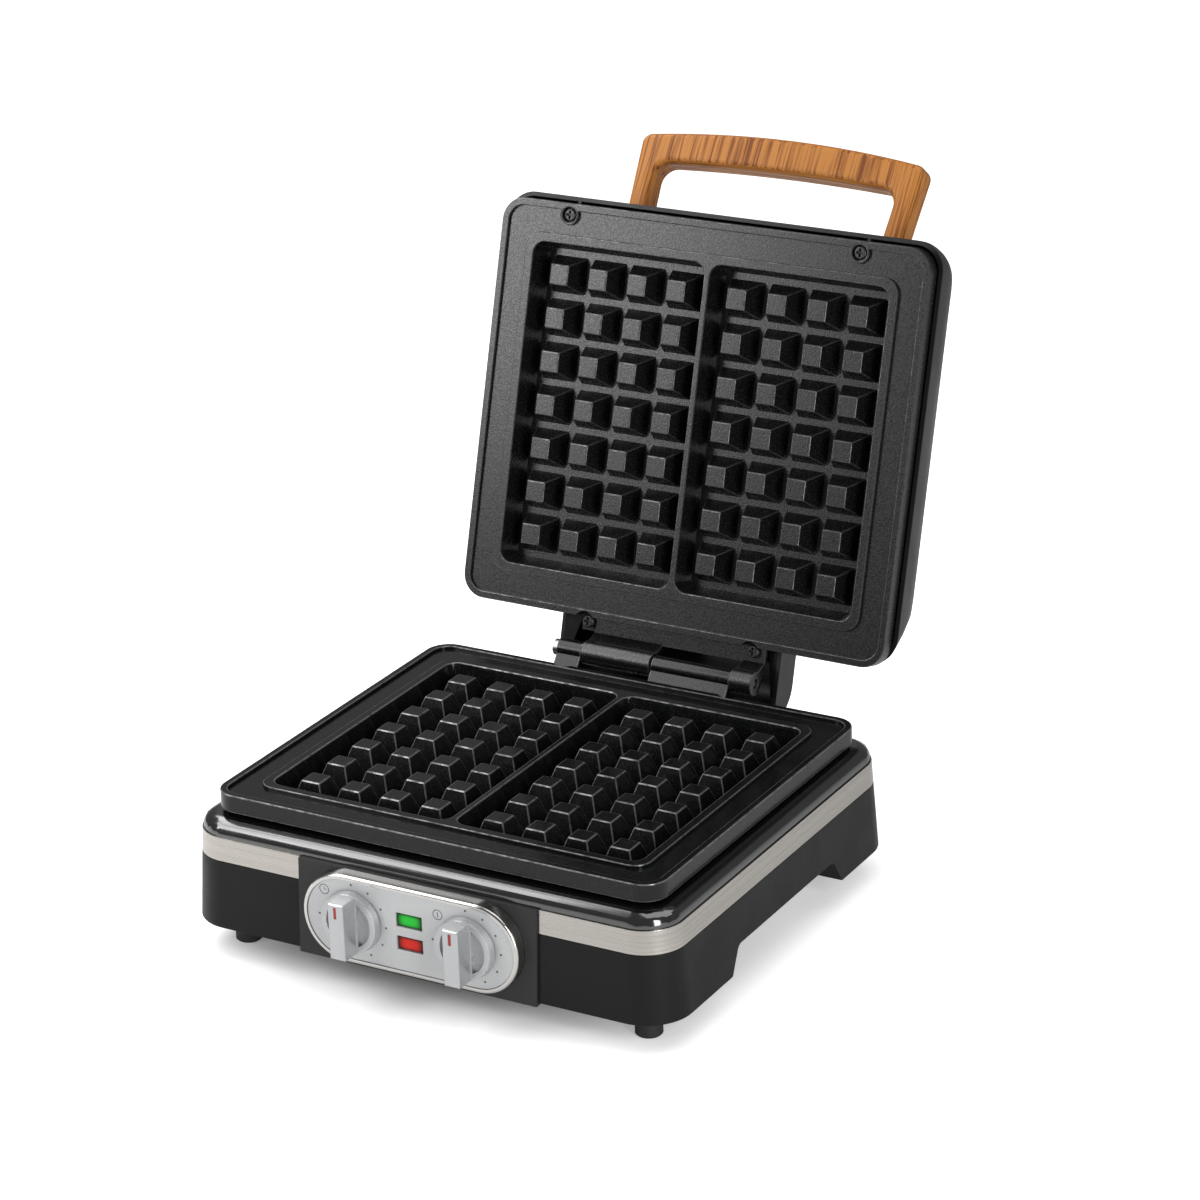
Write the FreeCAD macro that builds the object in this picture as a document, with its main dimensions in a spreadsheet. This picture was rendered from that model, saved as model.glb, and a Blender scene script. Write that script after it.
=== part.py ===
import FreeCAD, Part
import os
import re

import Sketcher

# Waffle maker with a hinged lid, drawn with the lid open as far as it goes.
# X runs to the user's right, Y to the back and Z up. The origin lies on the table, under the
# middle of the open appliance. The base's pieces are drawn about the middle of the block grid,
# and the lid's pieces about the hinge axis, as when shut.

Vector = FreeCAD.Vector
UPWARD = Vector(0, 0, 1)
NEAR = 1e-4

doc = FreeCAD.newDocument("WaffleMaker")
sheet = doc.addObject("Spreadsheet::Sheet", "Sizes")

SIZES = (
    ("origin_setback", 74.0, "origin behind the middle of the block grid"),
    # Block grid of one waffle, and the plate round the two waffles
    ("pitch_across", 24.0, "block spacing from left to right"),
    ("pitch_along", 23.8, "block spacing from front to back"),
    ("columns", 4, "blocks across one waffle"),
    ("rows", 7, "blocks along one waffle"),
    ("waffle_gap", 36.6, "spacing of the two block columns beside the divider"),
    ("block_foot", 20.3, "width of a block at the cavity floor"),
    ("block_crown", 11.0, "width of a block at its top"),
    ("block_depth", 13.2, "height of a block"),
    ("channel_floor", 3.7, "flat floor between neighbouring blocks"),
    ("cavity_lean", 3.2, "how far a cavity wall leans outwards"),
    ("cavity_corner", 7.0, "corner radius of a cavity at its top"),
    ("divider_crown", 3.2, "width of the divider's top"),
    ("lip_width", 5.0, "width of the raised lip round the cavities"),
    ("flange_side", 16.4, "flange from lip to plate edge at the sides"),
    ("flange_end", 17.25, "flange from lip to plate edge at front and back"),
    ("plate_corner", 13.0, "corner radius of a plate"),
    ("rim_width", 4.0, "width of the raised rim at the plate's edge"),
    ("rim_drop", 0.6, "rim below the level of the hinge axis"),
    ("block_drop", 1.6, "block tops below the level of the hinge axis"),
    ("flange_drop", 2.4, "flange below the level of the hinge axis"),
    ("flange_thickness", 3.5, "thickness of the flange"),
    ("skirt_drop", 10.1, "lower edge of the skirt below the level of the hinge axis"),
    ("skirt_wall", 3.0, "thickness of the skirt"),
    ("lip_corner", 9.0, "corner radius of the lip's outer edge"),
    ("relief_wall", 1.5, "casting left between the basin and the hollow under the flange"),
    ("basin_wall", 3.5, "thickness of the casting round a cavity"),
    ("floor_thickness", 3.2, "thickness of the casting under a cavity"),
    ("overlap", 1.0, "overlap of joined shapes, and run-out of cuts"),
    # Hinge
    ("hinge_height", 85.0, "hinge axis above the table"),
    ("hinge_reach", 18.9, "hinge axis behind the plate's back edge"),
    ("open_angle", 106.6, "angle of the open lid, in degrees"),
    ("pin_diameter", 5.0, "hinge pin"),
    ("pin_fit", 0.05, "running clearance round the pin"),
    ("pin_head", 4.5, "radius of the hinge pin's head"),
    ("pin_head_height", 3.0, "height of the hinge pin's head"),
    ("pin_recess", 1.5, "end of the hinge pin inside the last knuckle"),
    ("press_fit", 0.01, "clearance of a pressed joint"),
    ("tongue_drop", 7.6, "top of a hinge tongue below the level of the hinge axis"),
    ("tongue_thickness", 2.5, "thickness of a hinge tongue"),
    ("tongue_setback", 9.4, "end of a hinge tongue before the hinge axis"),
    ("upper_barrel", 6.7, "radius of the lid plate's knuckles"),
    ("lower_barrel", 5.4, "radius of the base plate's knuckles"),
    ("knuckle_gap", 0.4, "gap between neighbouring knuckles"),
    ("knuckle_left", 62.4, "left end of the knuckle row from the middle"),
    ("knuckle_split_left", 47.0, "first split of the knuckle row, left of the middle"),
    ("knuckle_split_middle", 4.0, "second split of the knuckle row, left of the middle"),
    ("knuckle_split_right", 44.0, "third split of the knuckle row, right of the middle"),
    ("knuckle_right", 57.6, "right end of the knuckle row from the middle"),
    # Screws
    ("screw_head", 3.6, "radius of a plate screw's head"),
    ("screw_shank", 1.9, "radius of a plate screw's shank"),
    ("screw_head_height", 2.4, "height of a plate screw's head"),
    ("screw_boss", 5.7, "radius of the boss round a plate screw"),
    ("screw_room", 0.6, "room round a screw head"),
    ("cover_screw_length", 12.0, "length of a cover screw's shank"),
    ("rear_screw_x", 50.6, "rear plate screws from the middle"),
    ("rear_screw_setback", 16.0, "rear plate screws before the hinge axis"),
    ("front_screw_x", 87.4, "front lid plate screws from the middle"),
    ("front_screw_inset", 6.3, "front lid plate screws behind the plate's front edge"),
    # Base housing
    ("shoulder_side", 9.15, "housing beyond the plate at the sides, at the band's top"),
    ("shoulder_end", 10.0, "housing beyond the plate at front and back, at the band's top"),
    ("base_corner", 20.5, "corner radius of the housing at the band's top"),
    ("wall_lean", 0.068, "outward lean of the walls for each millimetre downwards"),
    ("shell_wall", 2.6, "wall thickness of the housing"),
    ("shell_bottom", 15.7, "lower edge of the housing above the table"),
    ("band_bottom", 52.4, "lower edge of the steel band above the table"),
    ("band_top", 64.9, "upper edge of the steel band above the table"),
    ("band_thickness", 0.8, "thickness of the steel band"),
    ("arch_front", 57.5, "front end of the side arch before the middle"),
    ("arch_rear", 63.0, "rear end of the side arch behind the middle"),
    ("arch_slant", 8.5, "slant of the side arch's ends"),
    ("arch_height", 13.7, "height of the side arch"),
    ("arch_corner", 5.0, "corner radius of the side arch"),
    ("arch_recess", 16.0, "depth of the side arch"),
    ("cover_recess", 1.3, "bottom cover above the housing's lower edge"),
    ("cover_thickness", 2.0, "thickness of the bottom cover"),
    ("cover_room", 0.4, "room round the bottom cover"),
    ("cover_boss", 4.6, "radius of the bosses that take the cover screws"),
    ("cover_boss_height", 14.0, "height of the bosses that take the cover screws"),
    ("cover_boss_offset", 12.3, "cover bosses from the centre of the housing's corner arc"),
    ("vent_length", 34.0, "length of a vent slot in the bottom cover"),
    ("vent_width", 4.0, "width of a vent slot"),
    ("vent_count", 9, "number of vent slots"),
    ("vent_spacing", 14.0, "spacing of the vent slots"),
    ("foot_radius", 7.0, "radius of a foot"),
    ("foot_neck", 5.8, "radius of a foot at its top"),
    ("foot_pad", 4.0, "height of a foot's wide pad"),
    ("foot_chamfer", 0.8, "chamfer under a foot"),
    ("foot_inset_side", 23.8, "foot centre inside the housing's lower edge at the sides"),
    ("foot_inset_end", 23.2, "foot centre inside the housing's lower edge at front and back"),
    ("bezel_inset", 0.9, "gloss shoulder inside the band's face"),
    ("bezel_upright", 2.6, "upright lower edge of the gloss shoulder"),
    ("bezel_rise", 5.1, "rise of the gloss shoulder's curve"),
    ("bezel_run", 10.0, "run of the gloss shoulder's curve"),
    ("bezel_wall", 2.5, "wall thickness of the gloss shoulder"),
    ("basin_room", 4.0, "room between the gloss shoulder's opening and the plate"),
    ("seat_radius", 4.0, "radius of the posts that carry the plate"),
    ("housing_half_width", 82.0, "hinge housing from the middle"),
    ("housing_back", 20.3, "hinge housing behind the band's face"),
    ("housing_slope", 6.0, "sloped upper edge of the hinge housing"),
    ("housing_step", 6.9, "top of the hinge housing below the band's upper edge"),
    ("housing_room", 0.3, "room round the hinge housing"),
    ("gland_radius", 7.0, "radius of the cable gland"),
    ("gland_length", 9.0, "cable gland beyond the hinge housing"),
    ("gland_neck", 5.5, "radius of the cable gland inside the hinge housing"),
    ("gland_bore", 3.4, "radius of the cable gland's bore"),
    ("gland_x", 55.0, "cable gland right of the middle"),
    ("gland_height", 36.0, "cable gland above the table"),
    # Control panel
    ("panel_half_width", 69.0, "control panel from the middle"),
    ("panel_proud", 1.4, "control panel before the housing's face"),
    ("panel_thickness", 4.0, "thickness of the control panel"),
    ("panel_bottom", 14.2, "lower edge of the control panel above the table"),
    ("panel_room", 0.2, "room round the control panel"),
    ("fascia_height", 41.0, "knob axes above the table"),
    ("fascia_proud", 9.2, "face of the fascia before the band's face"),
    ("fascia_half_length", 59.9, "half length of the fascia's opening"),
    ("fascia_radius", 21.4, "end radius of the fascia's opening"),
    ("fascia_thickness", 4.0, "thickness of the fascia plate"),
    ("fascia_room", 0.1, "room round the fascia plate"),
    ("ring_wall", 2.4, "width of the fascia's ring"),
    ("ring_proud", 0.5, "ring before the fascia's face"),
    ("ring_round", 1.4, "rounding of the ring's outer edge"),
    ("ring_ledge", 3.2, "ledge inside the ring that carries the fascia plate"),
    ("bracket_setback", 4.7, "control bracket behind the band's face"),
    ("bracket_thickness", 1.2, "thickness of the control bracket"),
    ("bracket_half_width", 67.0, "control bracket from the middle"),
    ("bracket_half_height", 21.5, "control bracket above and below the knob axes"),
    ("post_radius", 3.0, "radius of the panel's posts"),
    ("post_x", 63.5, "panel's posts from the middle"),
    ("post_rise", 18.0, "panel's posts above and below the knob axes"),
    ("lens_half_width", 7.3, "half width of a lamp lens"),
    ("lens_half_height", 3.6, "half height of a lamp lens"),
    ("lens_rise", 6.3, "lamp lenses above and below the knob axes"),
    ("lens_room", 0.2, "room round a lamp lens"),
    ("lens_depth", 0.7, "lens below the fascia's face"),
    ("lens_length", 7.0, "length of a lamp lens"),
    ("holder_wall", 2.0, "wall of the lamp holder"),
    ("lamp_radius", 2.3, "radius of an indicator lamp"),
    # Knobs and what they turn
    ("knob_x", 33.0, "knob axes from the middle"),
    ("knob_radius", 16.5, "radius of a knob's skirt"),
    ("knob_skirt", 4.2, "height of a knob's skirt"),
    ("knob_taper", 9.0, "taper of a knob's skirt, in degrees"),
    ("knob_gap", 0.4, "gap behind a knob"),
    ("knob_height", 15.0, "height of a knob"),
    ("grip_half_width", 4.5, "half width of a knob's grip"),
    ("grip_half_length", 15.2, "half length of a knob's grip"),
    ("grip_round", 1.2, "rounding of a knob's grip"),
    ("scoop_radius", 12.6, "radius of the scoops beside the grip"),
    ("scoop_gap", 0.6, "edge left between grip and scoop"),
    ("scoop_depth", 2.2, "depth of the scoops beside the grip"),
    ("mark_width", 1.5, "width of a knob's pointer mark"),
    ("mark_length", 6.0, "length of a knob's pointer mark"),
    ("mark_inset", 1.6, "pointer mark below the grip's end"),
    ("mark_depth", 0.5, "depth of a knob's pointer mark"),
    ("shaft_radius", 3.0, "radius of a control shaft"),
    ("shaft_room", 1.0, "room round a shaft in the fascia"),
    ("shaft_bite", 9.0, "length of a shaft inside its knob"),
    ("shaft_end_room", 0.4, "room beyond a shaft's end inside its control"),
    ("shaft_seat", 9.0, "length of a shaft inside its control"),
    ("timer_half_width", 19.0, "half width of the timer"),
    ("timer_half_height", 19.0, "half height of the timer"),
    ("timer_length", 26.0, "length of the timer"),
    ("timer_drum", 15.0, "radius of the timer's spring drum"),
    ("timer_drum_length", 7.0, "length of the timer's spring drum"),
    ("thermostat_half_width", 14.0, "half width of the thermostat"),
    ("thermostat_half_height", 16.0, "half height of the thermostat"),
    ("thermostat_length", 20.0, "length of the thermostat"),
    ("bulb_radius", 3.0, "radius of the thermostat's bulb"),
    ("bulb_length", 60.0, "length of the thermostat's bulb"),
    ("bulb_front", 62.0, "front end of the thermostat's bulb before the middle"),
    ("capillary_radius", 1.0, "radius of the thermostat's capillary"),
    ("capillary_room", 0.6, "room round the capillary in the reflector tray"),
    ("capillary_bend", 9.0, "bend radius of the thermostat's capillary"),
    # Heating
    ("heater_radius", 3.2, "radius of a heating element"),
    ("heater_half_width", 84.0, "half width of a heating element's loop"),
    ("heater_half_length", 64.0, "half length of a heating element's loop"),
    ("heater_bend", 22.0, "bend radius of a heating element"),
    ("heater_terminal", 42.0, "ends of a heating element from the middle"),
    ("tray_depth", 8.6, "depth of a reflector tray"),
    ("tray_wall", 0.8, "thickness of a reflector tray"),
    ("tray_margin", 5.0, "reflector tray inside the plate's basin"),
    ("tray_corner", 12.0, "corner radius of a reflector tray"),
    ("fuse_length", 16.0, "length of the thermal fuse's sleeve"),
    ("fuse_width", 6.0, "width of the thermal fuse's sleeve"),
    ("fuse_y", 30.0, "thermal fuse behind the middle"),
    ("terminal_length", 46.0, "length of the terminal block"),
    ("terminal_width", 17.0, "width of the terminal block"),
    ("terminal_height", 15.0, "height of the terminal block"),
    ("terminal_y", 84.0, "terminal block behind the middle"),
    # Lid housing, about the hinge axis
    ("lid_side", 2.75, "lid housing beyond the plate at the sides"),
    ("lid_front", 3.6, "lid housing beyond the plate at the front"),
    ("lid_rear", 0.7, "lid housing inside the plate's back edge"),
    ("lid_corner", 16.0, "corner radius of the lid housing's edge"),
    ("lid_wall_corner", 20.0, "corner radius of the lid at the top of its upright wall"),
    ("lid_gap", 0.7, "gap between the lid plate's skirt and the lid housing"),
    ("lid_wall_rise", 32.0, "top of the lid's upright wall above the hinge axis"),
    ("lid_wall_lean", 1.0, "inward lean of the lid's upright wall"),
    ("lid_rear_lean", 14.0, "forward lean of the lid's rear wall"),
    ("lid_top", 66.0, "top of the lid above the hinge axis"),
    ("lid_slope_side", 34.5, "run of the lid's slope at the sides"),
    ("lid_slope_front", 30.6, "run of the lid's slope at the front"),
    ("lid_slope_rear", 30.0, "run of the lid's slope at the back"),
    ("lid_top_corner", 24.0, "corner radius of the lid's top"),
    ("lid_round", 12.0, "run of the rounding on the lid's top"),
    ("ridge_below", 0.45, "share of the upright wall below the lower rounding"),
    ("ridge_above", 0.2, "share of the slope in the lower rounding"),
    ("ridge_before", 0.75, "share of the slope below the upper rounding"),
    ("lid_wall", 2.6, "wall thickness of the lid housing"),
    ("hood_left", 70.5, "left face of the hinge hood from the middle"),
    ("hood_right", 64.5, "right face of the hinge hood from the middle"),
    ("hood_edge", 12.5, "open edge of the hinge hood above the hinge axis"),
    ("hood_rise", 31.5, "top of the hinge hood above the hinge axis"),
    ("hood_reach", 19.0, "hinge hood behind the hinge axis"),
    ("hood_round", 17.0, "rounding of the hinge hood's back"),
    # Handle, in its own tilted plane
    ("handle_half_width", 83.5, "outer half width of the handle at its seat"),
    ("handle_flare", 3.2, "outward run of a handle leg from its seat to the outer corner"),
    ("handle_leg", 12.3, "width of a handle leg"),
    ("handle_thickness", 15.5, "thickness of the handle"),
    ("handle_reach", 54.0, "handle's outer corners from its seat"),
    ("handle_bar", 16.0, "depth of the crossbar at its ends"),
    ("handle_bow", 6.0, "bow of the crossbar's outer edge"),
    ("handle_inner_bow", 2.4, "bow of the crossbar's inner edge"),
    ("handle_round", 4.0, "rounding of the handle's long edges"),
    ("handle_corner", 6.0, "rounding of the handle's outer corners"),
    ("handle_inner_corner", 9.0, "rounding of the handle's inner corners"),
    ("handle_tilt", 19.0, "upward tilt of the handle, in degrees"),
    ("handle_seat_y", 99.0, "handle's seat before the middle of the grid"),
    ("handle_seat_rise", 61.7, "handle's seat above the hinge axis"),
    ("socket_wall", 2.4, "lid's socket beyond the handle leg"),
    ("socket_length", 34.0, "length of the lid's socket"),
    ("handle_screw_bite", 18.0, "length of a handle screw inside the handle"),
)

for row, (alias, value, meaning) in enumerate(SIZES, start=1):
    sheet.set(f"A{row}", meaning)
    sheet.set(f"B{row}", str(value))
    sheet.setAlias(f"B{row}", alias)
doc.recompute()

ALIASES = {alias for alias, _, _ in SIZES}

# Sizes that follow from the ones above, as expressions
CAVITY_OUT = "(waffle_gap / 2 + (columns - 1) * pitch_across + block_foot / 2 + channel_floor)"
CAVITY_IN = "(waffle_gap / 2 - block_foot / 2 - channel_floor)"
CAVITY_END = "((rows - 1) / 2 * pitch_along + block_foot / 2 + channel_floor)"
LIP_X = f"({CAVITY_OUT} + cavity_lean + lip_width)"
LIP_Y = f"({CAVITY_END} + cavity_lean + lip_width)"
PLATE_X = f"({LIP_X} + flange_side)"
PLATE_Y = f"({LIP_Y} + flange_end)"
BASIN_X = f"({CAVITY_OUT} + basin_wall)"
BASIN_Y = f"({CAVITY_END} + basin_wall)"
BASIN_DROP = "(block_drop + block_depth + floor_thickness)"
HINGE_Y = f"({PLATE_Y} + hinge_reach)"
BASE_X = f"({PLATE_X} + shoulder_side)"
BASE_Y = f"({PLATE_Y} + shoulder_end)"
LOW_GROWTH = "(wall_lean * (band_top - shell_bottom))"
LOW_X = f"({BASE_X} + {LOW_GROWTH})"
LOW_Y = f"({BASE_Y} + {LOW_GROWTH})"
LOW_CORNER = f"(base_corner + {LOW_GROWTH})"
COVER_BOTTOM = "(shell_bottom + cover_recess)"
COVER_TOP = f"({COVER_BOTTOM} + cover_thickness)"
COVER_BOSS_X = f"({LOW_X} - {LOW_CORNER} + cover_boss_offset)"
COVER_BOSS_Y = f"({LOW_Y} - {LOW_CORNER} + cover_boss_offset)"
ARCH_DEEP = f"({LOW_X} - arch_recess)"
BEZEL_TOP = "(band_top + bezel_upright + bezel_rise)"
FACE_Y = f"({BASE_Y} + fascia_proud)"
BRACKET_FRONT = f"({BASE_Y} - bracket_setback)"
BRACKET_BACK = f"({BRACKET_FRONT} - bracket_thickness)"
KNOB_BACK = f"({FACE_Y} + knob_gap)"
BASIN_BOTTOM = f"(hinge_height - {BASIN_DROP})"
TRAY_X = f"({BASIN_X} - tray_margin)"
TRAY_Y = f"({BASIN_Y} - tray_margin)"
SCREW_WELL = "(screw_head_height + screw_room)"
LID_EDGE = "(skirt_drop + lid_gap)"
LID_X = f"({PLATE_X} + lid_side)"
LID_FRONT = f"({HINGE_Y} + {PLATE_Y} + lid_front)"
LID_REAR = "(hinge_reach + lid_rear)"
HANDLE_SEAT = f"(-{HINGE_Y} - handle_seat_y)"
HANDLE_SCREW_X = "(handle_half_width - handle_leg / 2)"
HOLDER_FRONT = f"({FACE_Y} - lens_depth - lens_length)"


def bound(text):
    """Put the sheet's name before each alias, so that an expression can be bound to an object."""
    return re.sub(r"[a-z_]+", lambda word: f"Sizes.{word[0]}" if word[0] in ALIASES else word[0], text)


def number(text):
    """Value of an expression of the sheet's sizes."""
    return float(sheet.evalExpression(text))


def new_body(label):
    """Empty body that carries its node's name, drawn about the middle of the block grid."""
    made = doc.addObject("PartDesign::Body", label)
    made.Label = label
    return put(made)


def origin_feature(body, role):
    """One of the body's own origin planes or axes."""
    return next(feature for feature in body.Origin.OriginFeatures if feature.Role == role)


def new_sketch(body, role, offset="0"):
    """Sketch on an origin plane of the body, moved along the plane's normal."""
    sketch = body.newObject("Sketcher::SketchObject", "Sketch")
    sketch.AttachmentSupport = (origin_feature(body, role), [""])
    sketch.MapMode = "FlatFace"
    sketch.setExpression("AttachmentOffset.Base.z", bound(offset))
    return sketch


def hold_distance(sketch, kind, element, end, text):
    """Hold one end of a sketch element at an expression's distance from the sketch's origin."""
    index = sketch.addConstraint(Sketcher.Constraint(kind, -1, 1, element, end, number(text)))
    sketch.setExpression(f"Constraints[{index}]", bound(text))


def place_point(sketch, element, end, x, y):
    """Hold one end of a sketch element at two expressions."""
    hold_distance(sketch, "DistanceX", element, end, x)
    hold_distance(sketch, "DistanceY", element, end, y)


def join_smoothly(sketch, first, count, closed=False):
    """Join elements end to end so that each runs smoothly into the next."""
    for index in range(count if closed else count - 1):
        following = first + (index + 1) % count
        sketch.addConstraint(Sketcher.Constraint("Tangent", first + index, 2, following, 1))


def hold_radius(sketch, element, radius):
    """Hold the radius of a circle or an arc at an expression."""
    index = sketch.addConstraint(Sketcher.Constraint("Radius", element, number(radius)))
    sketch.setExpression(f"Constraints[{index}]", bound(radius))


def polygon(sketch, points):
    """Closed outline with straight sides through points given as pairs of expressions."""
    corners = [Vector(number(x), number(y), 0) for x, y in points]
    first = sketch.GeometryCount
    count = len(corners)
    for index in range(count):
        sketch.addGeometry(Part.LineSegment(corners[index], corners[(index + 1) % count]), False)
    for index in range(count):
        following = first + (index + 1) % count
        sketch.addConstraint(Sketcher.Constraint("Coincident", first + index, 2, following, 1))
        place_point(sketch, first + index, 1, *points[index])


def rectangle(sketch, left, right, low, high):
    """Upright rectangle between four expressions."""
    polygon(sketch, ((left, low), (right, low), (right, high), (left, high)))


def circle(sketch, x, y, radius):
    """Circle at an expression's place."""
    centre = Vector(number(x), number(y), 0)
    element = sketch.addGeometry(Part.Circle(centre, UPWARD, number(radius)), False)
    place_point(sketch, element, 3, x, y)
    hold_radius(sketch, element, radius)


def arc(centre, radius, start, end):
    """Arc about a centre between two angles in quarter turns."""
    quarter = 1.5707963267948966
    return Part.ArcOfCircle(Part.Circle(centre, UPWARD, radius), start * quarter, end * quarter)


def rounded_rectangle(sketch, left, right, low, high, radius):
    """Upright rectangle with four equal corner arcs."""
    x0, x1, y0, y1, r = (number(text) for text in (left, right, low, high, radius))
    first = sketch.GeometryCount
    sketch.addGeometry(Part.LineSegment(Vector(x0 + r, y0, 0), Vector(x1 - r, y0, 0)), False)
    sketch.addGeometry(arc(Vector(x1 - r, y0 + r, 0), r, 3, 4), False)
    sketch.addGeometry(Part.LineSegment(Vector(x1, y0 + r, 0), Vector(x1, y1 - r, 0)), False)
    sketch.addGeometry(arc(Vector(x1 - r, y1 - r, 0), r, 0, 1), False)
    sketch.addGeometry(Part.LineSegment(Vector(x1 - r, y1, 0), Vector(x0 + r, y1, 0)), False)
    sketch.addGeometry(arc(Vector(x0 + r, y1 - r, 0), r, 1, 2), False)
    sketch.addGeometry(Part.LineSegment(Vector(x0, y1 - r, 0), Vector(x0, y0 + r, 0)), False)
    sketch.addGeometry(arc(Vector(x0 + r, y0 + r, 0), r, 2, 3), False)
    join_smoothly(sketch, first, 8, closed=True)
    for index, kind in ((0, "Horizontal"), (2, "Vertical"), (4, "Horizontal"), (6, "Vertical")):
        sketch.addConstraint(Sketcher.Constraint(kind, first + index))
    hold_radius(sketch, first + 1, radius)
    for index in (3, 5, 7):
        sketch.addConstraint(Sketcher.Constraint("Equal", first + 1, first + index))
    for index, kind, text in ((0, "DistanceY", low), (2, "DistanceX", right), (4, "DistanceY", high),
                              (6, "DistanceX", left)):
        hold_distance(sketch, kind, first + index, 1, text)


def slot(sketch, half_length, radius, height):
    """Level obround, centred left to right at a height."""
    reach, r, z = number(half_length) - number(radius), number(radius), number(height)
    first = sketch.GeometryCount
    sketch.addGeometry(Part.LineSegment(Vector(-reach, z - r, 0), Vector(reach, z - r, 0)), False)
    sketch.addGeometry(arc(Vector(reach, z, 0), r, 3, 5), False)
    sketch.addGeometry(Part.LineSegment(Vector(reach, z + r, 0), Vector(-reach, z + r, 0)), False)
    sketch.addGeometry(arc(Vector(-reach, z, 0), r, 1, 3), False)
    join_smoothly(sketch, first, 4, closed=True)
    sketch.addConstraint(Sketcher.Constraint("Horizontal", first))
    sketch.addConstraint(Sketcher.Constraint("Equal", first + 1, first + 3))
    hold_radius(sketch, first + 1, radius)
    place_point(sketch, first + 1, 3, f"{half_length} - {radius}", height)
    hold_distance(sketch, "DistanceX", first + 3, 3, f"-({half_length} - {radius})")


def pad(body, sketch, length, backwards=False, both_ways=False, taper=None):
    """Solid drawn out from a sketch along its normal."""
    feature = body.newObject("PartDesign::Pad", "Pad")
    feature.Profile = sketch
    feature.setExpression("Length", bound(length))
    feature.Reversed = backwards
    feature.Midplane = both_ways
    if taper:
        feature.setExpression("TaperAngle", bound(taper))
    return feature


def pocket(body, sketch, length=None, forwards=False):
    """Cut from a sketch against its normal, or along it; without a length it goes right through."""
    feature = body.newObject("PartDesign::Pocket", "Pocket")
    feature.Profile = sketch
    feature.Reversed = forwards
    if length is None:
        feature.Type = "ThroughAll"
    else:
        feature.setExpression("Length", bound(length))
    return feature


def loft(body, sections, cut=False):
    """Straight-sided solid, or cut, through sketches one above the other."""
    feature = body.newObject("PartDesign::SubtractiveLoft" if cut else "PartDesign::AdditiveLoft", "Loft")
    feature.Profile = sections[0]
    feature.Sections = sections[1:]
    feature.Ruled = True
    return feature


def pipe(body, profile, path):
    """Solid of one profile carried along a path."""
    feature = body.newObject("PartDesign::AdditivePipe", "Pipe")
    feature.Profile = profile
    feature.Spine = path
    return feature


def fillet(body, radius, wanted):
    """Round the edges of the body so far that the given test picks out."""
    doc.recompute()
    base = body.Tip
    names = [f"Edge{index}" for index, edge in enumerate(base.Shape.Edges, 1) if wanted(edge)]
    feature = body.newObject("PartDesign::Fillet", "Fillet")
    feature.Base = (base, names)
    feature.setExpression("Radius", bound(radius))
    return feature


def ends(edge):
    """First and last point of an edge."""
    return edge.Vertexes[0].Point, edge.Vertexes[-1].Point


def runs_along(edge, y, z):
    """Whether an edge lies across the body at the given y and z."""
    return all(abs(point.y - number(y)) + abs(point.z - number(z)) < NEAR for point in ends(edge))


def put(body, x="0", y="0", z="0", axis=("0", "0", "1"), angle="0"):
    """Place a body at expressions, turned about an axis by an angle."""
    turn = FreeCAD.Rotation(Vector(*(number(text) for text in axis)), number(angle))
    body.Placement = FreeCAD.Placement(Vector(), turn)
    for name, text in zip("xyz", (x, f"{y} - origin_setback", z)):
        body.setExpression(f"Placement.Base.{name}", bound(text))
    if angle != "0":
        for name, text in zip("xyz", axis):
            body.setExpression(f"Placement.Rotation.Axis.{name}", bound(text))
        body.setExpression("Placement.Rotation.Angle", bound(angle))
    return body


def put_on_lid(body, x="0", y="0", z="0", tilt="0"):
    """Place a body on the open lid, at a point given about the hinge axis of the shut lid."""
    raised_y = f"{HINGE_Y} + ({y}) * cos(open_angle) + ({z}) * sin(open_angle)"
    raised_z = f"hinge_height - ({y}) * sin(open_angle) + ({z}) * cos(open_angle)"
    return put(body, x, raised_y, raised_z, ("-1", "0", "0"), f"open_angle + {tilt}")


def put_with_lower_plate(body):
    """Place a body drawn before the hinge axis, facing up."""
    return put(body, "0", HINGE_Y, "hinge_height")


def put_with_upper_plate(body):
    """Turn a body, drawn as for the lower plate, half round on to the open lid."""
    axis = ("0", "-cos(open_angle / 2)", "sin(open_angle / 2)")
    return put(body, "0", HINGE_Y, "hinge_height", axis, "180")


def centred_rectangle(sketch, half_x, half_y, middle_y, radius):
    """Rounded rectangle, centred left to right, about a middle from front to back."""
    low = f"({middle_y} - {half_y})"
    high = f"({middle_y} + {half_y})"
    rounded_rectangle(sketch, f"(-{half_x})", half_x, low, high, radius)


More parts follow.
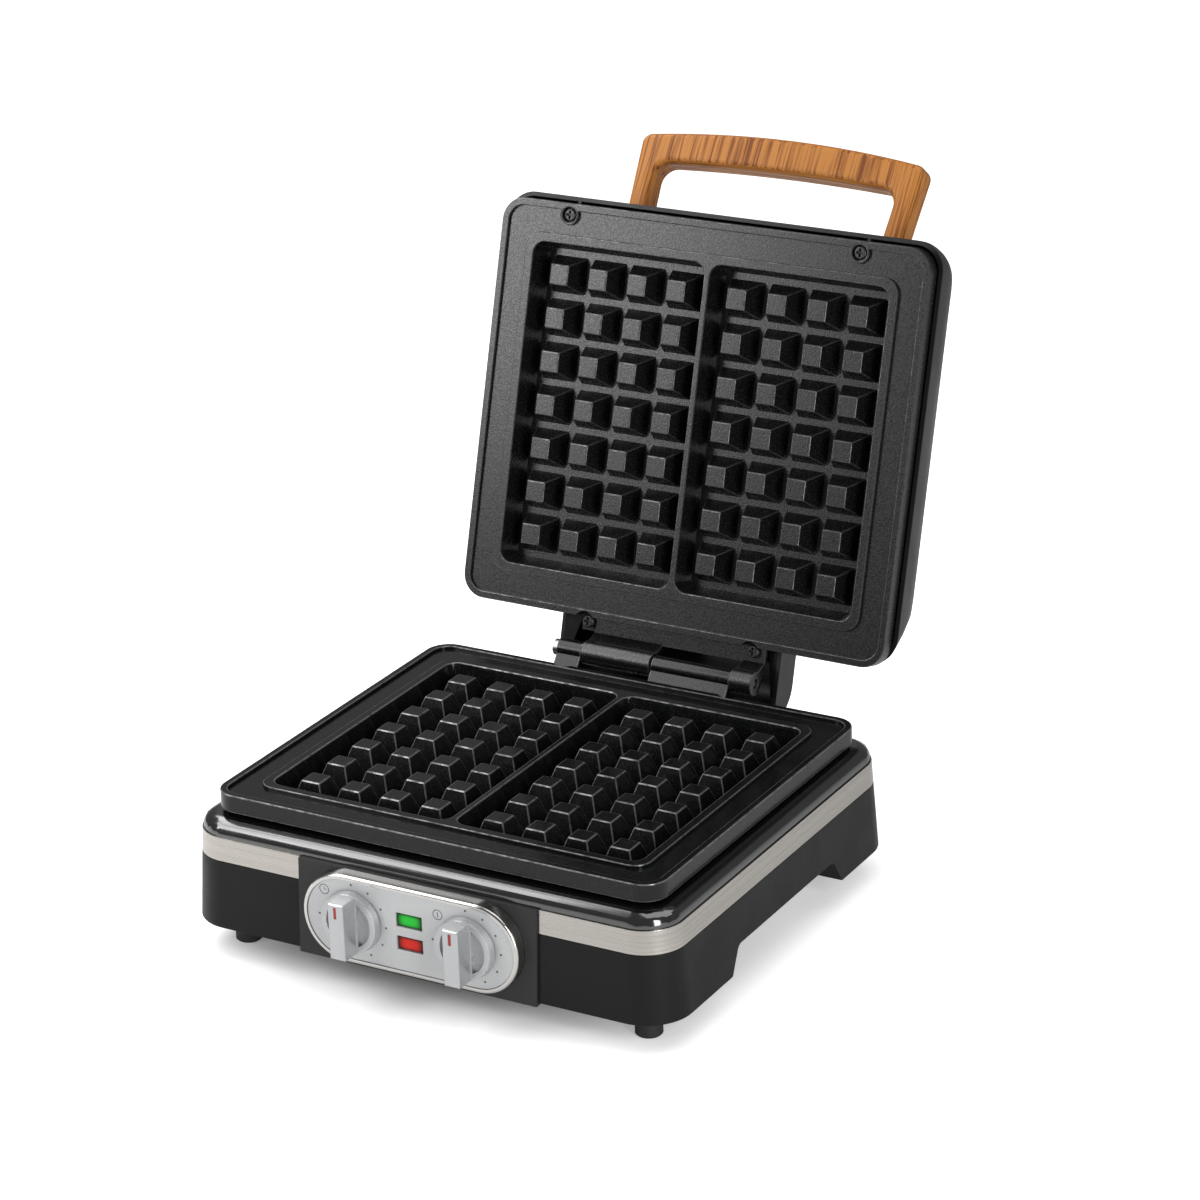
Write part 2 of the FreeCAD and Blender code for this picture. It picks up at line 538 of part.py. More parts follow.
def cast_cavities(body, middle):
    """Two tapered cavities with their grids of blocks."""
    floor = "(-block_drop - block_depth)"
    for side, backwards in (("", False), ("-", True)):
        outer, inner = f"{side}({CAVITY_OUT} + cavity_lean)", f"{side}divider_crown / 2"
        floor_outer, floor_inner = f"{side}{CAVITY_OUT}", f"{side}{CAVITY_IN}"
        reach = f"({CAVITY_END} + cavity_lean)"
        sections = []
        for near, far, end, level, corner in (
            (inner, outer, reach, "-rim_drop", "cavity_corner"),
            (floor_inner, floor_outer, CAVITY_END, floor, "(cavity_corner - cavity_lean)"),
        ):
            left, right = (far, near) if backwards else (near, far)
            section = new_sketch(body, "XY_Plane", level)
            low, high = f"({middle} - {end})", f"({middle} + {end})"
            rounded_rectangle(section, f"({left})", f"({right})", low, high, corner)
            sections.append(section)
        loft(body, sections, cut=True)
        sections = []
        for width, level in (("block_foot", floor), ("block_crown", "-block_drop")):
            section = new_sketch(body, "XY_Plane", level)
            x, y = f"{side}waffle_gap / 2", f"({middle} - (rows - 1) / 2 * pitch_along)"
            rectangle(section, f"{x} - {width} / 2", f"{x} + {width} / 2",
                      f"{y} - {width} / 2", f"{y} + {width} / 2")
            sections.append(section)
        block = loft(body, sections)
        doc.recompute()
        grid = body.newObject("PartDesign::LinearPattern", "BlockGrid")
        grid.Originals = [block]
        grid.Direction = (origin_feature(body, "X_Axis"), [""])
        grid.Reversed = backwards
        grid.setExpression("Length", bound("(columns - 1) * pitch_across"))
        grid.setExpression("Occurrences", bound("columns"))
        grid.Direction2 = (origin_feature(body, "Y_Axis"), [""])
        grid.setExpression("Length2", bound("(rows - 1) * pitch_along"))
        grid.setExpression("Occurrences2", bound("rows"))
        body.Tip = grid
        doc.recompute()


def cast_hinge(body, knuckles, barrel, bore):
    """Tongue behind the plate with its knuckles, bored for the hinge pin."""
    tongue = new_sketch(body, "XY_Plane", "-tongue_drop - tongue_thickness")
    left = min((start for start, _ in knuckles), key=number)
    right = max((end for _, end in knuckles), key=number)
    rectangle(tongue, left, right, "-hinge_reach - skirt_wall", "-tongue_setback")
    pad(body, tongue, "tongue_thickness")
    under = "-tongue_drop - tongue_thickness"
    for start, end in knuckles:
        web = new_sketch(body, "YZ_Plane", start)
        root = "-tongue_setback - overlap"
        polygon(web, ((root, under), ("0", f"overlap - {barrel}"), (f"overlap - {barrel}", "0"),
                      (root, "-tongue_drop")))
        pad(body, web, f"({end}) - ({start})")
        knuckle = new_sketch(body, "YZ_Plane", start)
        circle(knuckle, "0", "0", barrel)
        pad(body, knuckle, f"({end}) - ({start})")
    hole = new_sketch(body, "YZ_Plane", left)
    circle(hole, "0", "0", bore)
    pocket(body, hole, forwards=True)


def waffle_plate(label, knuckles, barrel, bore, front_screws):
    """Die-cast, coated waffle plate: it faces up and lies before the hinge axis."""
    body = new_body(label)
    middle = f"(-{HINGE_Y})"
    slab = new_sketch(body, "XY_Plane", "-skirt_drop")
    centred_rectangle(slab, PLATE_X, PLATE_Y, middle, "plate_corner")
    pad(body, slab, "skirt_drop - rim_drop")
    basin = new_sketch(body, "XY_Plane", f"-{BASIN_DROP}")
    centred_rectangle(basin, BASIN_X, BASIN_Y, middle, "cavity_corner")
    pad(body, basin, f"{BASIN_DROP} - skirt_drop + overlap")
    relief = new_sketch(body, "XY_Plane", "-skirt_drop")
    centred_rectangle(relief, f"({PLATE_X} - skirt_wall)", f"({PLATE_Y} - skirt_wall)", middle,
                      "(plate_corner - skirt_wall)")
    centred_rectangle(relief, f"({BASIN_X} + relief_wall)", f"({BASIN_Y} + relief_wall)", middle,
                      "cavity_corner")
    pocket(body, relief, "skirt_drop - flange_drop - flange_thickness", forwards=True)
    flange = new_sketch(body, "XY_Plane", "-rim_drop")
    centred_rectangle(flange, f"({PLATE_X} - rim_width)", f"({PLATE_Y} - rim_width)", middle,
                      "(plate_corner - rim_width)")
    centred_rectangle(flange, LIP_X, LIP_Y, middle, "lip_corner")
    pocket(body, flange, "flange_drop - rim_drop")
    cast_cavities(body, middle)
    cast_hinge(body, knuckles, barrel, bore)
    notches = new_sketch(body, "XY_Plane", "0")
    for side in ("", "-"):
        circle(notches, f"{side}rear_screw_x", "-rear_screw_setback", "screw_boss")
    pocket(body, notches, "tongue_drop")
    holes = new_sketch(body, "XY_Plane", "0")
    for side in ("", "-"):
        circle(holes, f"{side}rear_screw_x", "-rear_screw_setback", "screw_shank")
    if front_screws:
        front_y = f"({middle} - {PLATE_Y} + front_screw_inset)"
        bosses = new_sketch(body, "XY_Plane", "-skirt_drop")
        for side in ("", "-"):
            circle(bosses, f"{side}front_screw_x", front_y, "screw_boss")
            circle(holes, f"{side}front_screw_x", front_y, "screw_shank")
        pad(body, bosses, "skirt_drop - rim_drop")
        wells = new_sketch(body, "XY_Plane", "-rim_drop")
        for side in ("", "-"):
            circle(wells, f"{side}front_screw_x", front_y, "screw_head + screw_room")
        pocket(body, wells, SCREW_WELL)
    pocket(body, holes)
    return body


LOWER_KNUCKLES = (
    ("-knuckle_left", "-knuckle_split_left - knuckle_gap / 2"),
    ("-knuckle_split_middle + knuckle_gap / 2", "knuckle_split_right - knuckle_gap / 2"),
)
UPPER_KNUCKLES = (
    ("-knuckle_right", "-knuckle_split_right - knuckle_gap / 2"),
    ("knuckle_split_middle + knuckle_gap / 2", "knuckle_split_left - knuckle_gap / 2"),
)


def lower_plate():
    """Plate of the base, lying level."""
    bore = "pin_diameter / 2 + press_fit"
    return put_with_lower_plate(waffle_plate("lower_plate", LOWER_KNUCKLES, "lower_barrel", bore, False))


def upper_plate():
    """Plate of the lid: turned about to face the lower one, then raised with the lid."""
    bore = "pin_diameter / 2 + pin_fit"
    return put_with_upper_plate(waffle_plate("upper_plate", UPPER_KNUCKLES, "upper_barrel", bore, True))


def hinge_pin():
    """Headed steel pin through both plates' knuckles."""
    body = new_body("hinge_pin")
    section = new_sketch(body, "YZ_Plane", "-knuckle_left")
    circle(section, "0", "0", "pin_diameter / 2")
    pad(body, section, "knuckle_left + knuckle_right - pin_recess")
    head = new_sketch(body, "YZ_Plane", "-knuckle_left")
    circle(head, "0", "0", "pin_head")
    pad(body, head, "pin_head_height", backwards=True)
    return put(body, "0", HINGE_Y, "hinge_height")


def shell_section(body, level, inset):
    """Outline of the base housing at a height, moved inwards by an inset."""
    section = new_sketch(body, "XY_Plane", level)
    growth = f"(wall_lean * (band_top - {level}) - {inset})"
    centred_rectangle(section, f"({BASE_X} + {growth})", f"({BASE_Y} + {growth})", "0",
                      f"(base_corner + {growth})")
    return section


def lower_shell():
    """Moulded base housing with leaning walls, side arches and openings for panel and hinge."""
    body = new_body("lower_shell")
    loft(body, [shell_section(body, "shell_bottom", "0"), shell_section(body, "band_bottom", "0")])
    loft(body, [shell_section(body, "band_bottom", "band_thickness"),
                shell_section(body, "band_top", "band_thickness")])
    loft(body, [shell_section(body, "(shell_bottom - overlap)", "shell_wall"),
                shell_section(body, "(band_top + overlap)", "shell_wall")], cut=True)
    blocks = new_sketch(body, "XY_Plane", "shell_bottom")
    front, rear = "(-arch_front - shell_wall)", "(arch_rear + shell_wall)"
    rectangle(blocks, f"{ARCH_DEEP} - shell_wall", f"{LOW_X} - shell_wall / 2", front, rear)
    rectangle(blocks, f"-({LOW_X} - shell_wall / 2)", f"-({ARCH_DEEP} - shell_wall)", front, rear)
    pad(body, blocks, "arch_height + shell_wall")
    arch_top = "(shell_bottom + arch_height)"
    for side, forwards in (("", True), ("-", False)):
        arch = new_sketch(body, "YZ_Plane", f"{side}{ARCH_DEEP}")
        polygon(arch, (("-arch_front", "shell_bottom - overlap"), ("arch_rear", "shell_bottom - overlap"),
                       ("arch_rear", "shell_bottom"), ("arch_rear - arch_slant", arch_top),
                       ("-arch_front + arch_slant", arch_top), ("-arch_front", "shell_bottom")))
        pocket(body, arch, "arch_recess * 2", forwards=forwards)
    top = number(arch_top)

    def arch_corner(edge):
        first, last = ends(edge)
        return abs(first.z - top) < NEAR and abs(last.z - top) < NEAR and abs(first.y - last.y) < NEAR

    fillet(body, "arch_corner", arch_corner)
    front_half, rear_half = "panel_half_width + panel_room", "housing_half_width + housing_room"
    for half_width, sign in ((front_half, ""), (rear_half, "-")):
        gap = new_sketch(body, "XZ_Plane", f"{sign}({LOW_Y} + overlap)")
        rectangle(gap, f"-({half_width})", half_width, "shell_bottom - overlap", "band_top + overlap")
        pocket(body, gap, f"shell_wall * 2 + {LOW_GROWTH}", forwards=bool(sign))
    bosses = new_sketch(body, "XY_Plane", COVER_TOP)
    holes = new_sketch(body, "XY_Plane", COVER_TOP)
    for x in ("", "-"):
        for y in ("", "-"):
            circle(bosses, f"{x}{COVER_BOSS_X}", f"{y}{COVER_BOSS_Y}", "cover_boss")
            circle(holes, f"{x}{COVER_BOSS_X}", f"{y}{COVER_BOSS_Y}", "screw_shank")
    pad(body, bosses, "cover_boss_height")
    pocket(body, holes, "cover_boss_height - shell_wall", forwards=True)
    return body


def bottom_cover():
    """Flat cover under the base, notched round the arches and slotted for air."""
    body = new_body("bottom_cover")
    outline = shell_section(body, COVER_BOTTOM, "(shell_wall + cover_room)")
    pad(body, outline, "cover_thickness")
    notches = new_sketch(body, "XY_Plane", COVER_TOP)
    front, rear = "-arch_front - shell_wall - cover_room", "arch_rear + shell_wall + cover_room"
    near, far = f"({ARCH_DEEP} - shell_wall - cover_room)", f"({LOW_X} + overlap)"
    rectangle(notches, near, far, front, rear)
    rectangle(notches, f"-{far}", f"-{near}", front, rear)
    pocket(body, notches)
    gaps = new_sketch(body, "XY_Plane", COVER_TOP)
    panel_gap = f"-({LOW_Y} - shell_wall * 2 - {LOW_GROWTH} - panel_room)"
    rectangle(gaps, "-panel_half_width - overlap", "panel_half_width + overlap",
              f"-{LOW_Y} - overlap", panel_gap)
    rear_gap = f"({BASE_Y} - shell_wall * 2)"
    rectangle(gaps, "-housing_half_width - overlap", "housing_half_width + overlap",
              rear_gap, f"{LOW_Y} + overlap")
    pocket(body, gaps)
    holes = new_sketch(body, "XY_Plane", COVER_TOP)
    for x in ("", "-"):
        for y in ("", "-"):
            circle(holes, f"{x}{COVER_BOSS_X}", f"{y}{COVER_BOSS_Y}", "screw_shank")
    pocket(body, holes)
    vent = new_sketch(body, "XY_Plane", COVER_TOP)
    first = "(-(vent_count - 1) / 2 * vent_spacing)"
    rectangle(vent, f"{first} - vent_width / 2", f"{first} + vent_width / 2",
              "-vent_length / 2", "vent_length / 2")
    opening = pocket(body, vent)
    doc.recompute()
    row = body.newObject("PartDesign::LinearPattern", "VentRow")
    row.Originals = [opening]
    row.Direction = (origin_feature(body, "X_Axis"), [""])
    row.setExpression("Length", bound("(vent_count - 1) * vent_spacing"))
    row.setExpression("Occurrences", bound("vent_count"))
    body.Tip = row
    return body


def foot(label, side, end):
    """Rubber foot with a slightly wider pad, under one corner of the cover."""
    body = new_body(label)
    half = new_sketch(body, "XZ_Plane")
    polygon(half, (("0", "0"), ("foot_radius - foot_chamfer", "0"), ("foot_radius", "foot_chamfer"),
                   ("foot_radius", "foot_pad"), ("foot_neck", COVER_BOTTOM), ("0", COVER_BOTTOM)))
    turned = body.newObject("PartDesign::Revolution", "Revolution")
    turned.Profile = half
    turned.ReferenceAxis = (half, ["V_Axis"])
    turned.Angle = 360
    return put(body, f"{side}({LOW_X} - foot_inset_side)", f"{end}({LOW_Y} - foot_inset_end)")


def group(label, members):
    """One node that holds several like pieces."""
    made = doc.addObject("Part::Compound", label)
    made.Label = label
    made.Links = members
    return made


def screw(length, head="screw_head", height="screw_head_height"):
    """Pan-headed screw: the head stands on the level of its origin, the shank goes down."""
    body = new_body("screw")
    cap = new_sketch(body, "XY_Plane")
    circle(cap, "0", "0", head)
    pad(body, cap, height)
    shank = new_sketch(body, "XY_Plane")
    circle(shank, "0", "0", "screw_shank - press_fit")
    pad(body, shank, length, backwards=True)
    return body


def cover_screws():
    """Four screws that hold the bottom cover to the housing."""
    members = []
    for x in ("", "-"):
        for y in ("", "-"):
            made = screw("cover_screw_length")
            place = (f"{x}{COVER_BOSS_X}", f"{y}{COVER_BOSS_Y}", COVER_BOTTOM)
            members.append(put(made, *place, ("1", "0", "0"), "180"))
    return group("cover_screws", members)


def lower_plate_screws():
    """Two screws through the lower plate's tongue."""
    members = []
    for side in ("", "-"):
        place = (f"{side}rear_screw_x", f"{HINGE_Y} - rear_screw_setback", "hinge_height - tongue_drop")
        members.append(put(screw("tongue_thickness + seat_radius"), *place))
    return group("lower_plate_screws", members)


def upper_plate_screws():
    """Four screws that hold the lid's plate to the lid housing."""
    members = []
    for side in ("", "-"):
        rear = ("-rear_screw_setback", "tongue_drop", "tongue_thickness + screw_boss")
        front = (f"-({HINGE_Y} + {PLATE_Y} - front_screw_inset)", f"rim_drop + {SCREW_WELL}",
                 "skirt_drop + screw_boss")
        for x, (y, z, length) in (("rear_screw_x", rear), ("front_screw_x", front)):
            members.append(put_on_lid(screw(length), f"{side}{x}", y, z, "180"))
    return group("upper_plate_screws", members)


def upper_bezel():
    """Gloss shoulder between the band and the plate: an upright edge and a falling curve."""
    body = new_body("upper_bezel")
    inset, level = "bezel_inset", "band_top"
    growth = "(wall_lean * (band_top - {level}))"
    sections = [(level, inset), ("(band_top + bezel_upright)", inset)]
    for step in (30, 60, 90):
        rise = f"(band_top + bezel_upright + bezel_rise * sin({step} deg))"
        sections.append((rise, f"(bezel_inset + bezel_run * (1 - cos({step} deg)))"))
    outlines = []
    for level, inset in sections:
        outlines.append(shell_section(body, level, f"({inset} + {growth.format(level=level)})"))
    loft(body, outlines)
    hollow = [shell_section(body, "(band_top - overlap)", "(bezel_inset + bezel_wall)"),
              shell_section(body, f"({BEZEL_TOP} - bezel_wall)", "(bezel_inset + bezel_wall + bezel_run)")]
    loft(body, hollow, cut=True)
    opening = new_sketch(body, "XY_Plane", BEZEL_TOP)
    centred_rectangle(opening, f"({BASIN_X} + basin_room)", f"({BASIN_Y} + basin_room)", "0", "cavity_corner")
    pocket(body, opening)
    seats = new_sketch(body, "XY_Plane", f"{BEZEL_TOP} - bezel_wall")
    seat_x = f"(({BASIN_X} + {PLATE_X}) / 2)"
    seat_y = f"(({BASIN_Y} + {PLATE_Y}) / 2)"
    for x in ("", "-"):
        for y in ("", "-"):
            circle(seats, f"{x}{seat_x}", f"{y}{seat_y}", "seat_radius")
    pad(body, seats, f"hinge_height - flange_drop - flange_thickness - {BEZEL_TOP} + bezel_wall")
    rear = new_sketch(body, "XY_Plane", "band_top + bezel_upright")
    holes = new_sketch(body, "XY_Plane", "band_top + bezel_upright")
    for side in ("", "-"):
        place = (f"{side}rear_screw_x", f"{HINGE_Y} - rear_screw_setback")
        circle(rear, *place, "seat_radius")
        circle(holes, *place, "screw_shank")
    pad(body, rear, "hinge_height - tongue_drop - tongue_thickness - band_top - bezel_upright")
    pocket(body, holes, forwards=True)
    return body


def steel_band(label, mirrored):
    """Brushed strip let into the housing, from the panel round one side to the hinge housing."""
    body = new_body(label)
    loft(body, [shell_section(body, "band_bottom", "0"), shell_section(body, "band_top", "0")])
    loft(body, [shell_section(body, "(band_bottom - overlap)", "band_thickness"),
                shell_section(body, "(band_top + overlap)", "band_thickness")], cut=True)
    away = new_sketch(body, "XY_Plane", "band_top + overlap")
    far = f"(2 * {LOW_X})"
    edge, rear_edge = "(panel_half_width + panel_room)", "(housing_half_width + housing_room)"
    side = "" if mirrored else "-"
    other = "-" if mirrored else ""
    polygon(away, ((f"{side}{far}", f"-{far}"), (f"{other}{edge}", f"-{far}"), (f"{other}{edge}", "0"),
                   (f"{other}{rear_edge}", "0"), (f"{other}{rear_edge}", far), (f"{side}{far}", far)))
    pocket(body, away)
    return body


def control_panel():
    """Flat panel in the front wall, leaning with it, with posts for the control bracket."""
    body = new_body("control_panel")
    side = new_sketch(body, "YZ_Plane")
    low_front = f"-({BASE_Y} + wall_lean * (band_top - panel_bottom) + panel_proud)"
    high_front = f"-({BASE_Y} + panel_proud)"
    polygon(side, ((low_front, "panel_bottom"), (f"{low_front} + panel_thickness", "panel_bottom"),
                   (f"{high_front} + panel_thickness", "band_top"), (high_front, "band_top")))
    pad(body, side, "2 * panel_half_width", both_ways=True)
    opening = new_sketch(body, "XZ_Plane", FACE_Y)
    slot(opening, "(fascia_half_length + ring_wall)", "(fascia_radius + ring_wall)", "fascia_height")
    pocket(body, opening)
    posts = new_sketch(body, "XZ_Plane", BRACKET_FRONT)
    for x in ("", "-"):
        for z in ("+", "-"):
            circle(posts, f"{x}post_x", f"fascia_height {z} post_rise", "post_radius")
    pad(body, posts, "bracket_setback + panel_proud")
    return body


def fascia_bezel():
    """Polished ring that stands out of the panel and holds the fascia plate on a ledge."""
    body = new_body("fascia_bezel")
    outer = new_sketch(body, "XZ_Plane", BRACKET_FRONT)
    slot(outer, "(fascia_half_length + ring_wall)", "(fascia_radius + ring_wall)", "fascia_height")
    pad(body, outer, f"{FACE_Y} + ring_proud - {BRACKET_FRONT}")
    front = -number(f"{FACE_Y} + ring_proud")
    fillet(body, "ring_round", lambda edge: all(abs(point.y - front) < NEAR for point in ends(edge)))
    seat = new_sketch(body, "XZ_Plane", f"{FACE_Y} + ring_proud")
    slot(seat, "fascia_half_length", "fascia_radius", "fascia_height")
    pocket(body, seat, "ring_proud + fascia_thickness")
    through = new_sketch(body, "XZ_Plane", f"{FACE_Y} + ring_proud")
    slot(through, "(fascia_half_length - ring_ledge)", "(fascia_radius - ring_ledge)", "fascia_height")
    pocket(body, through)
    return body


def lens_window(sketch, sign, room):
    """Upright rectangle of a lamp lens, with room round it."""
    middle = f"(fascia_height {sign} lens_rise)"
    half = f"(lens_half_height + {room})"
    width = f"(lens_half_width + {room})"
    rectangle(sketch, f"-{width}", width, f"{middle} - {half}", f"{middle} + {half}")


def fascia_plate():
    """Silver face of the controls with holes for two shafts and two lenses."""
    body = new_body("fascia_plate")
    face = new_sketch(body, "XZ_Plane", FACE_Y)
    slot(face, "(fascia_half_length - fascia_room)", "(fascia_radius - fascia_room)", "fascia_height")
    pad(body, face, "fascia_thickness", backwards=True)
    holes = new_sketch(body, "XZ_Plane", FACE_Y)
    for side in ("", "-"):
        circle(holes, f"{side}knob_x", "fascia_height", "shaft_radius + shaft_room")
    for sign in ("+", "-"):
        lens_window(holes, sign, "lens_room")
    pocket(body, holes)
    return body


def lamp_lens(label, sign):
    """Coloured lens, set a little below the face."""
    body = new_body(label)
    section = new_sketch(body, "XZ_Plane", f"{FACE_Y} - lens_depth")
    lens_window(section, sign, "0")
    pad(body, section, "lens_length", backwards=True)
    return body


def lamp_holder():
    """Block behind the lenses with a socket for each lamp."""
    body = new_body("lamp_holder")
    block = new_sketch(body, "XZ_Plane", HOLDER_FRONT)
    width = "(lens_half_width + holder_wall)"
    height = "(lens_rise + lens_half_height + holder_wall)"
    rectangle(block, f"-{width}", width, f"fascia_height - {height}", f"fascia_height + {height}")
    pad(body, block, f"{HOLDER_FRONT} - {BRACKET_FRONT}", backwards=True)
    sockets = new_sketch(body, "XZ_Plane", HOLDER_FRONT)
    for sign in ("+", "-"):
        circle(sockets, "0", f"fascia_height {sign} lens_rise", "lamp_radius + press_fit")
    pocket(body, sockets)
    return body


def lamp(label, sign):
    """Indicator lamp in the holder, against the lens."""
    body = new_body(label)
    bulb = new_sketch(body, "XZ_Plane", HOLDER_FRONT)
    circle(bulb, "0", f"fascia_height {sign} lens_rise", "lamp_radius")
    pad(body, bulb, f"{HOLDER_FRONT} - {BRACKET_FRONT}", backwards=True)
    return body


def control_bracket():
    """Steel plate behind the panel that carries timer, thermostat and lamps."""
    body = new_body("control_bracket")
    sheet_metal = new_sketch(body, "XZ_Plane", BRACKET_FRONT)
    rectangle(sheet_metal, "-bracket_half_width", "bracket_half_width", "fascia_height - bracket_half_height",
              "fascia_height + bracket_half_height")
    pad(body, sheet_metal, "bracket_thickness", backwards=True)
    holes = new_sketch(body, "XZ_Plane", BRACKET_FRONT)
    for side in ("", "-"):
        circle(holes, f"{side}knob_x", "fascia_height", "shaft_radius + shaft_room")
    pocket(body, holes)
    return body


def control(label, side, half_width, half_height, length):
    """Timer or thermostat block behind the bracket, bored for its shaft."""
    body = new_body(label)
    block = new_sketch(body, "XZ_Plane", BRACKET_BACK)
    x = f"{side}knob_x"
    rectangle(block, f"{x} - {half_width}", f"{x} + {half_width}", f"fascia_height - {half_height}",
              f"fascia_height + {half_height}")
    pad(body, block, length, backwards=True)
    bore = new_sketch(body, "XZ_Plane", BRACKET_BACK)
    circle(bore, x, "fascia_height", "shaft_radius + pin_fit")
    pocket(body, bore, "shaft_seat + shaft_end_room")
    return body


def timer_body():
    """Clockwork timer with its spring drum at the back."""
    body = control("timer_body", "-", "timer_half_width", "timer_half_height", "timer_length")
    drum = new_sketch(body, "XZ_Plane", f"{BRACKET_BACK} - timer_length")
    circle(drum, "-knob_x", "fascia_height", "timer_drum")
    pad(body, drum, "timer_drum_length", backwards=True)
    return body


def thermostat_body():
    """Thermostat switch block."""
    return control("thermostat_body", "", "thermostat_half_width", "thermostat_half_height",
                   "thermostat_length")


def thermostat_bulb():
    """Feeler under the lower plate, with its capillary down to the thermostat."""
    body = new_body("thermostat_bulb")
    axis = f"({BASIN_BOTTOM} - bulb_radius)"
    bulb = new_sketch(body, "XZ_Plane", "bulb_front")
    circle(bulb, "knob_x", axis, "bulb_radius")
    pad(body, bulb, "bulb_length", backwards=True)
    path = new_sketch(body, "YZ_Plane", "knob_x")
    drop = f"({BRACKET_BACK} - thermostat_length / 2)"
    landing = "(fascia_height + thermostat_half_height)"
    bend = number("capillary_bend")
    level, below = number(axis), number(drop)
    start = Vector(number("overlap - bulb_front"), level, 0)
    path.addGeometry(Part.LineSegment(start, Vector(-below + bend, level, 0)), False)
    path.addGeometry(arc(Vector(-below + bend, level - bend, 0), bend, 1, 2), False)
    end = Vector(-below, number(landing), 0)
    path.addGeometry(Part.LineSegment(Vector(-below, level - bend, 0), end), False)
    join_smoothly(path, 0, 3)
    hold_radius(path, 1, "capillary_bend")
    place_point(path, 1, 3, f"-{drop} + capillary_bend", f"{axis} - capillary_bend")
    path.addConstraint(Sketcher.Constraint("Horizontal", 0))
    hold_distance(path, "DistanceX", 0, 1, "-bulb_front + overlap")
    path.addConstraint(Sketcher.Constraint("Vertical", 2))
    hold_distance(path, "DistanceY", 2, 2, landing)
    profile = new_sketch(body, "XZ_Plane", "bulb_front - overlap")
    circle(profile, "knob_x", axis, "capillary_radius")
    pipe(body, profile, path)
    return body


def knob(label, side):
    """Turning knob: tapered skirt, full-width grip and a scoop on each side of it."""
    body = new_body(label)
    skirt = new_sketch(body, "XY_Plane")
    circle(skirt, "0", "0", "knob_radius")
    pad(body, skirt, "knob_skirt", taper="-knob_taper")
    grip = new_sketch(body, "XY_Plane")
    rectangle(grip, "-grip_half_width", "grip_half_width", "-grip_half_length", "grip_half_length")
    pad(body, grip, "knob_height")
    rise = number("knob_skirt")

    def grip_edge(edge):
        heights = [point.z for point in ends(edge)]
        return min(heights) > rise - NEAR and max(heights) > rise + 1

    fillet(body, "grip_round", grip_edge)
    for sign, span in (("", (-1, 1)), ("-", (1, 3))):
        scoop = new_sketch(body, "XY_Plane", "knob_skirt")
        near = f"{sign}(grip_half_width + scoop_gap)"
        radius, chord = number("scoop_radius"), number("grip_half_width + scoop_gap")
        rise_at = (radius * radius - chord * chord) ** 0.5
        x = number(near)
        low, high = Vector(x, -rise_at, 0), Vector(x, rise_at, 0)
        edge = Vector(radius if sign == "" else -radius, 0, 0)
        scoop.addGeometry(Part.Arc(low, edge, high), False)
        scoop.addGeometry(Part.LineSegment(high, low), False)
        start, finish = (1, 2) if sign == "" else (2, 1)
        scoop.addConstraint(Sketcher.Constraint("Coincident", 0, finish, 1, 1))
        scoop.addConstraint(Sketcher.Constraint("Coincident", 0, start, 1, 2))
        place_point(scoop, 0, 3, "0", "0")
        hold_radius(scoop, 0, "scoop_radius")
        scoop.addConstraint(Sketcher.Constraint("Vertical", 1))
        index = scoop.addConstraint(Sketcher.Constraint("DistanceX", -1, 1, 1, 1, x))
        scoop.setExpression(f"Constraints[{index}]", bound(near))
        pocket(body, scoop, "scoop_depth")
    bore = new_sketch(body, "XY_Plane")
    circle(bore, "0", "0", "shaft_radius + press_fit")
    pocket(body, bore, "shaft_bite", forwards=True)
    mark = new_sketch(body, "XY_Plane", "knob_height")
    mark_outline(mark)
    pocket(body, mark, "mark_depth")
    return put_on_fascia(body, side)


def mark_outline(sketch):
    """Pointer mark near the upper end of a grip."""
    top = "(grip_half_length - mark_inset)"
    rectangle(sketch, "-mark_width / 2", "mark_width / 2", f"{top} - mark_length", top)


def put_on_fascia(body, side):
    """Place a body, drawn on its own turning axis, before the fascia."""
    return put(body, f"{side}knob_x", f"-{KNOB_BACK}", "fascia_height", ("1", "0", "0"), "90")


def pointer_mark(label, side):
    """Coloured inlay in the grip."""
    body = new_body(label)
    outline = new_sketch(body, "XY_Plane", "knob_height")
    mark_outline(outline)
    pad(body, outline, "mark_depth", backwards=True)
    return put_on_fascia(body, side)


def control_shaft(label, side):
    """Shaft pressed into a knob and running in its control."""
    body = new_body(label)
    section = new_sketch(body, "XY_Plane", "shaft_bite")
    circle(section, "0", "0", "shaft_radius")
    pad(body, section, f"shaft_bite + {KNOB_BACK} - {BRACKET_BACK} + shaft_seat", backwards=True)
    return put_on_fascia(body, side)


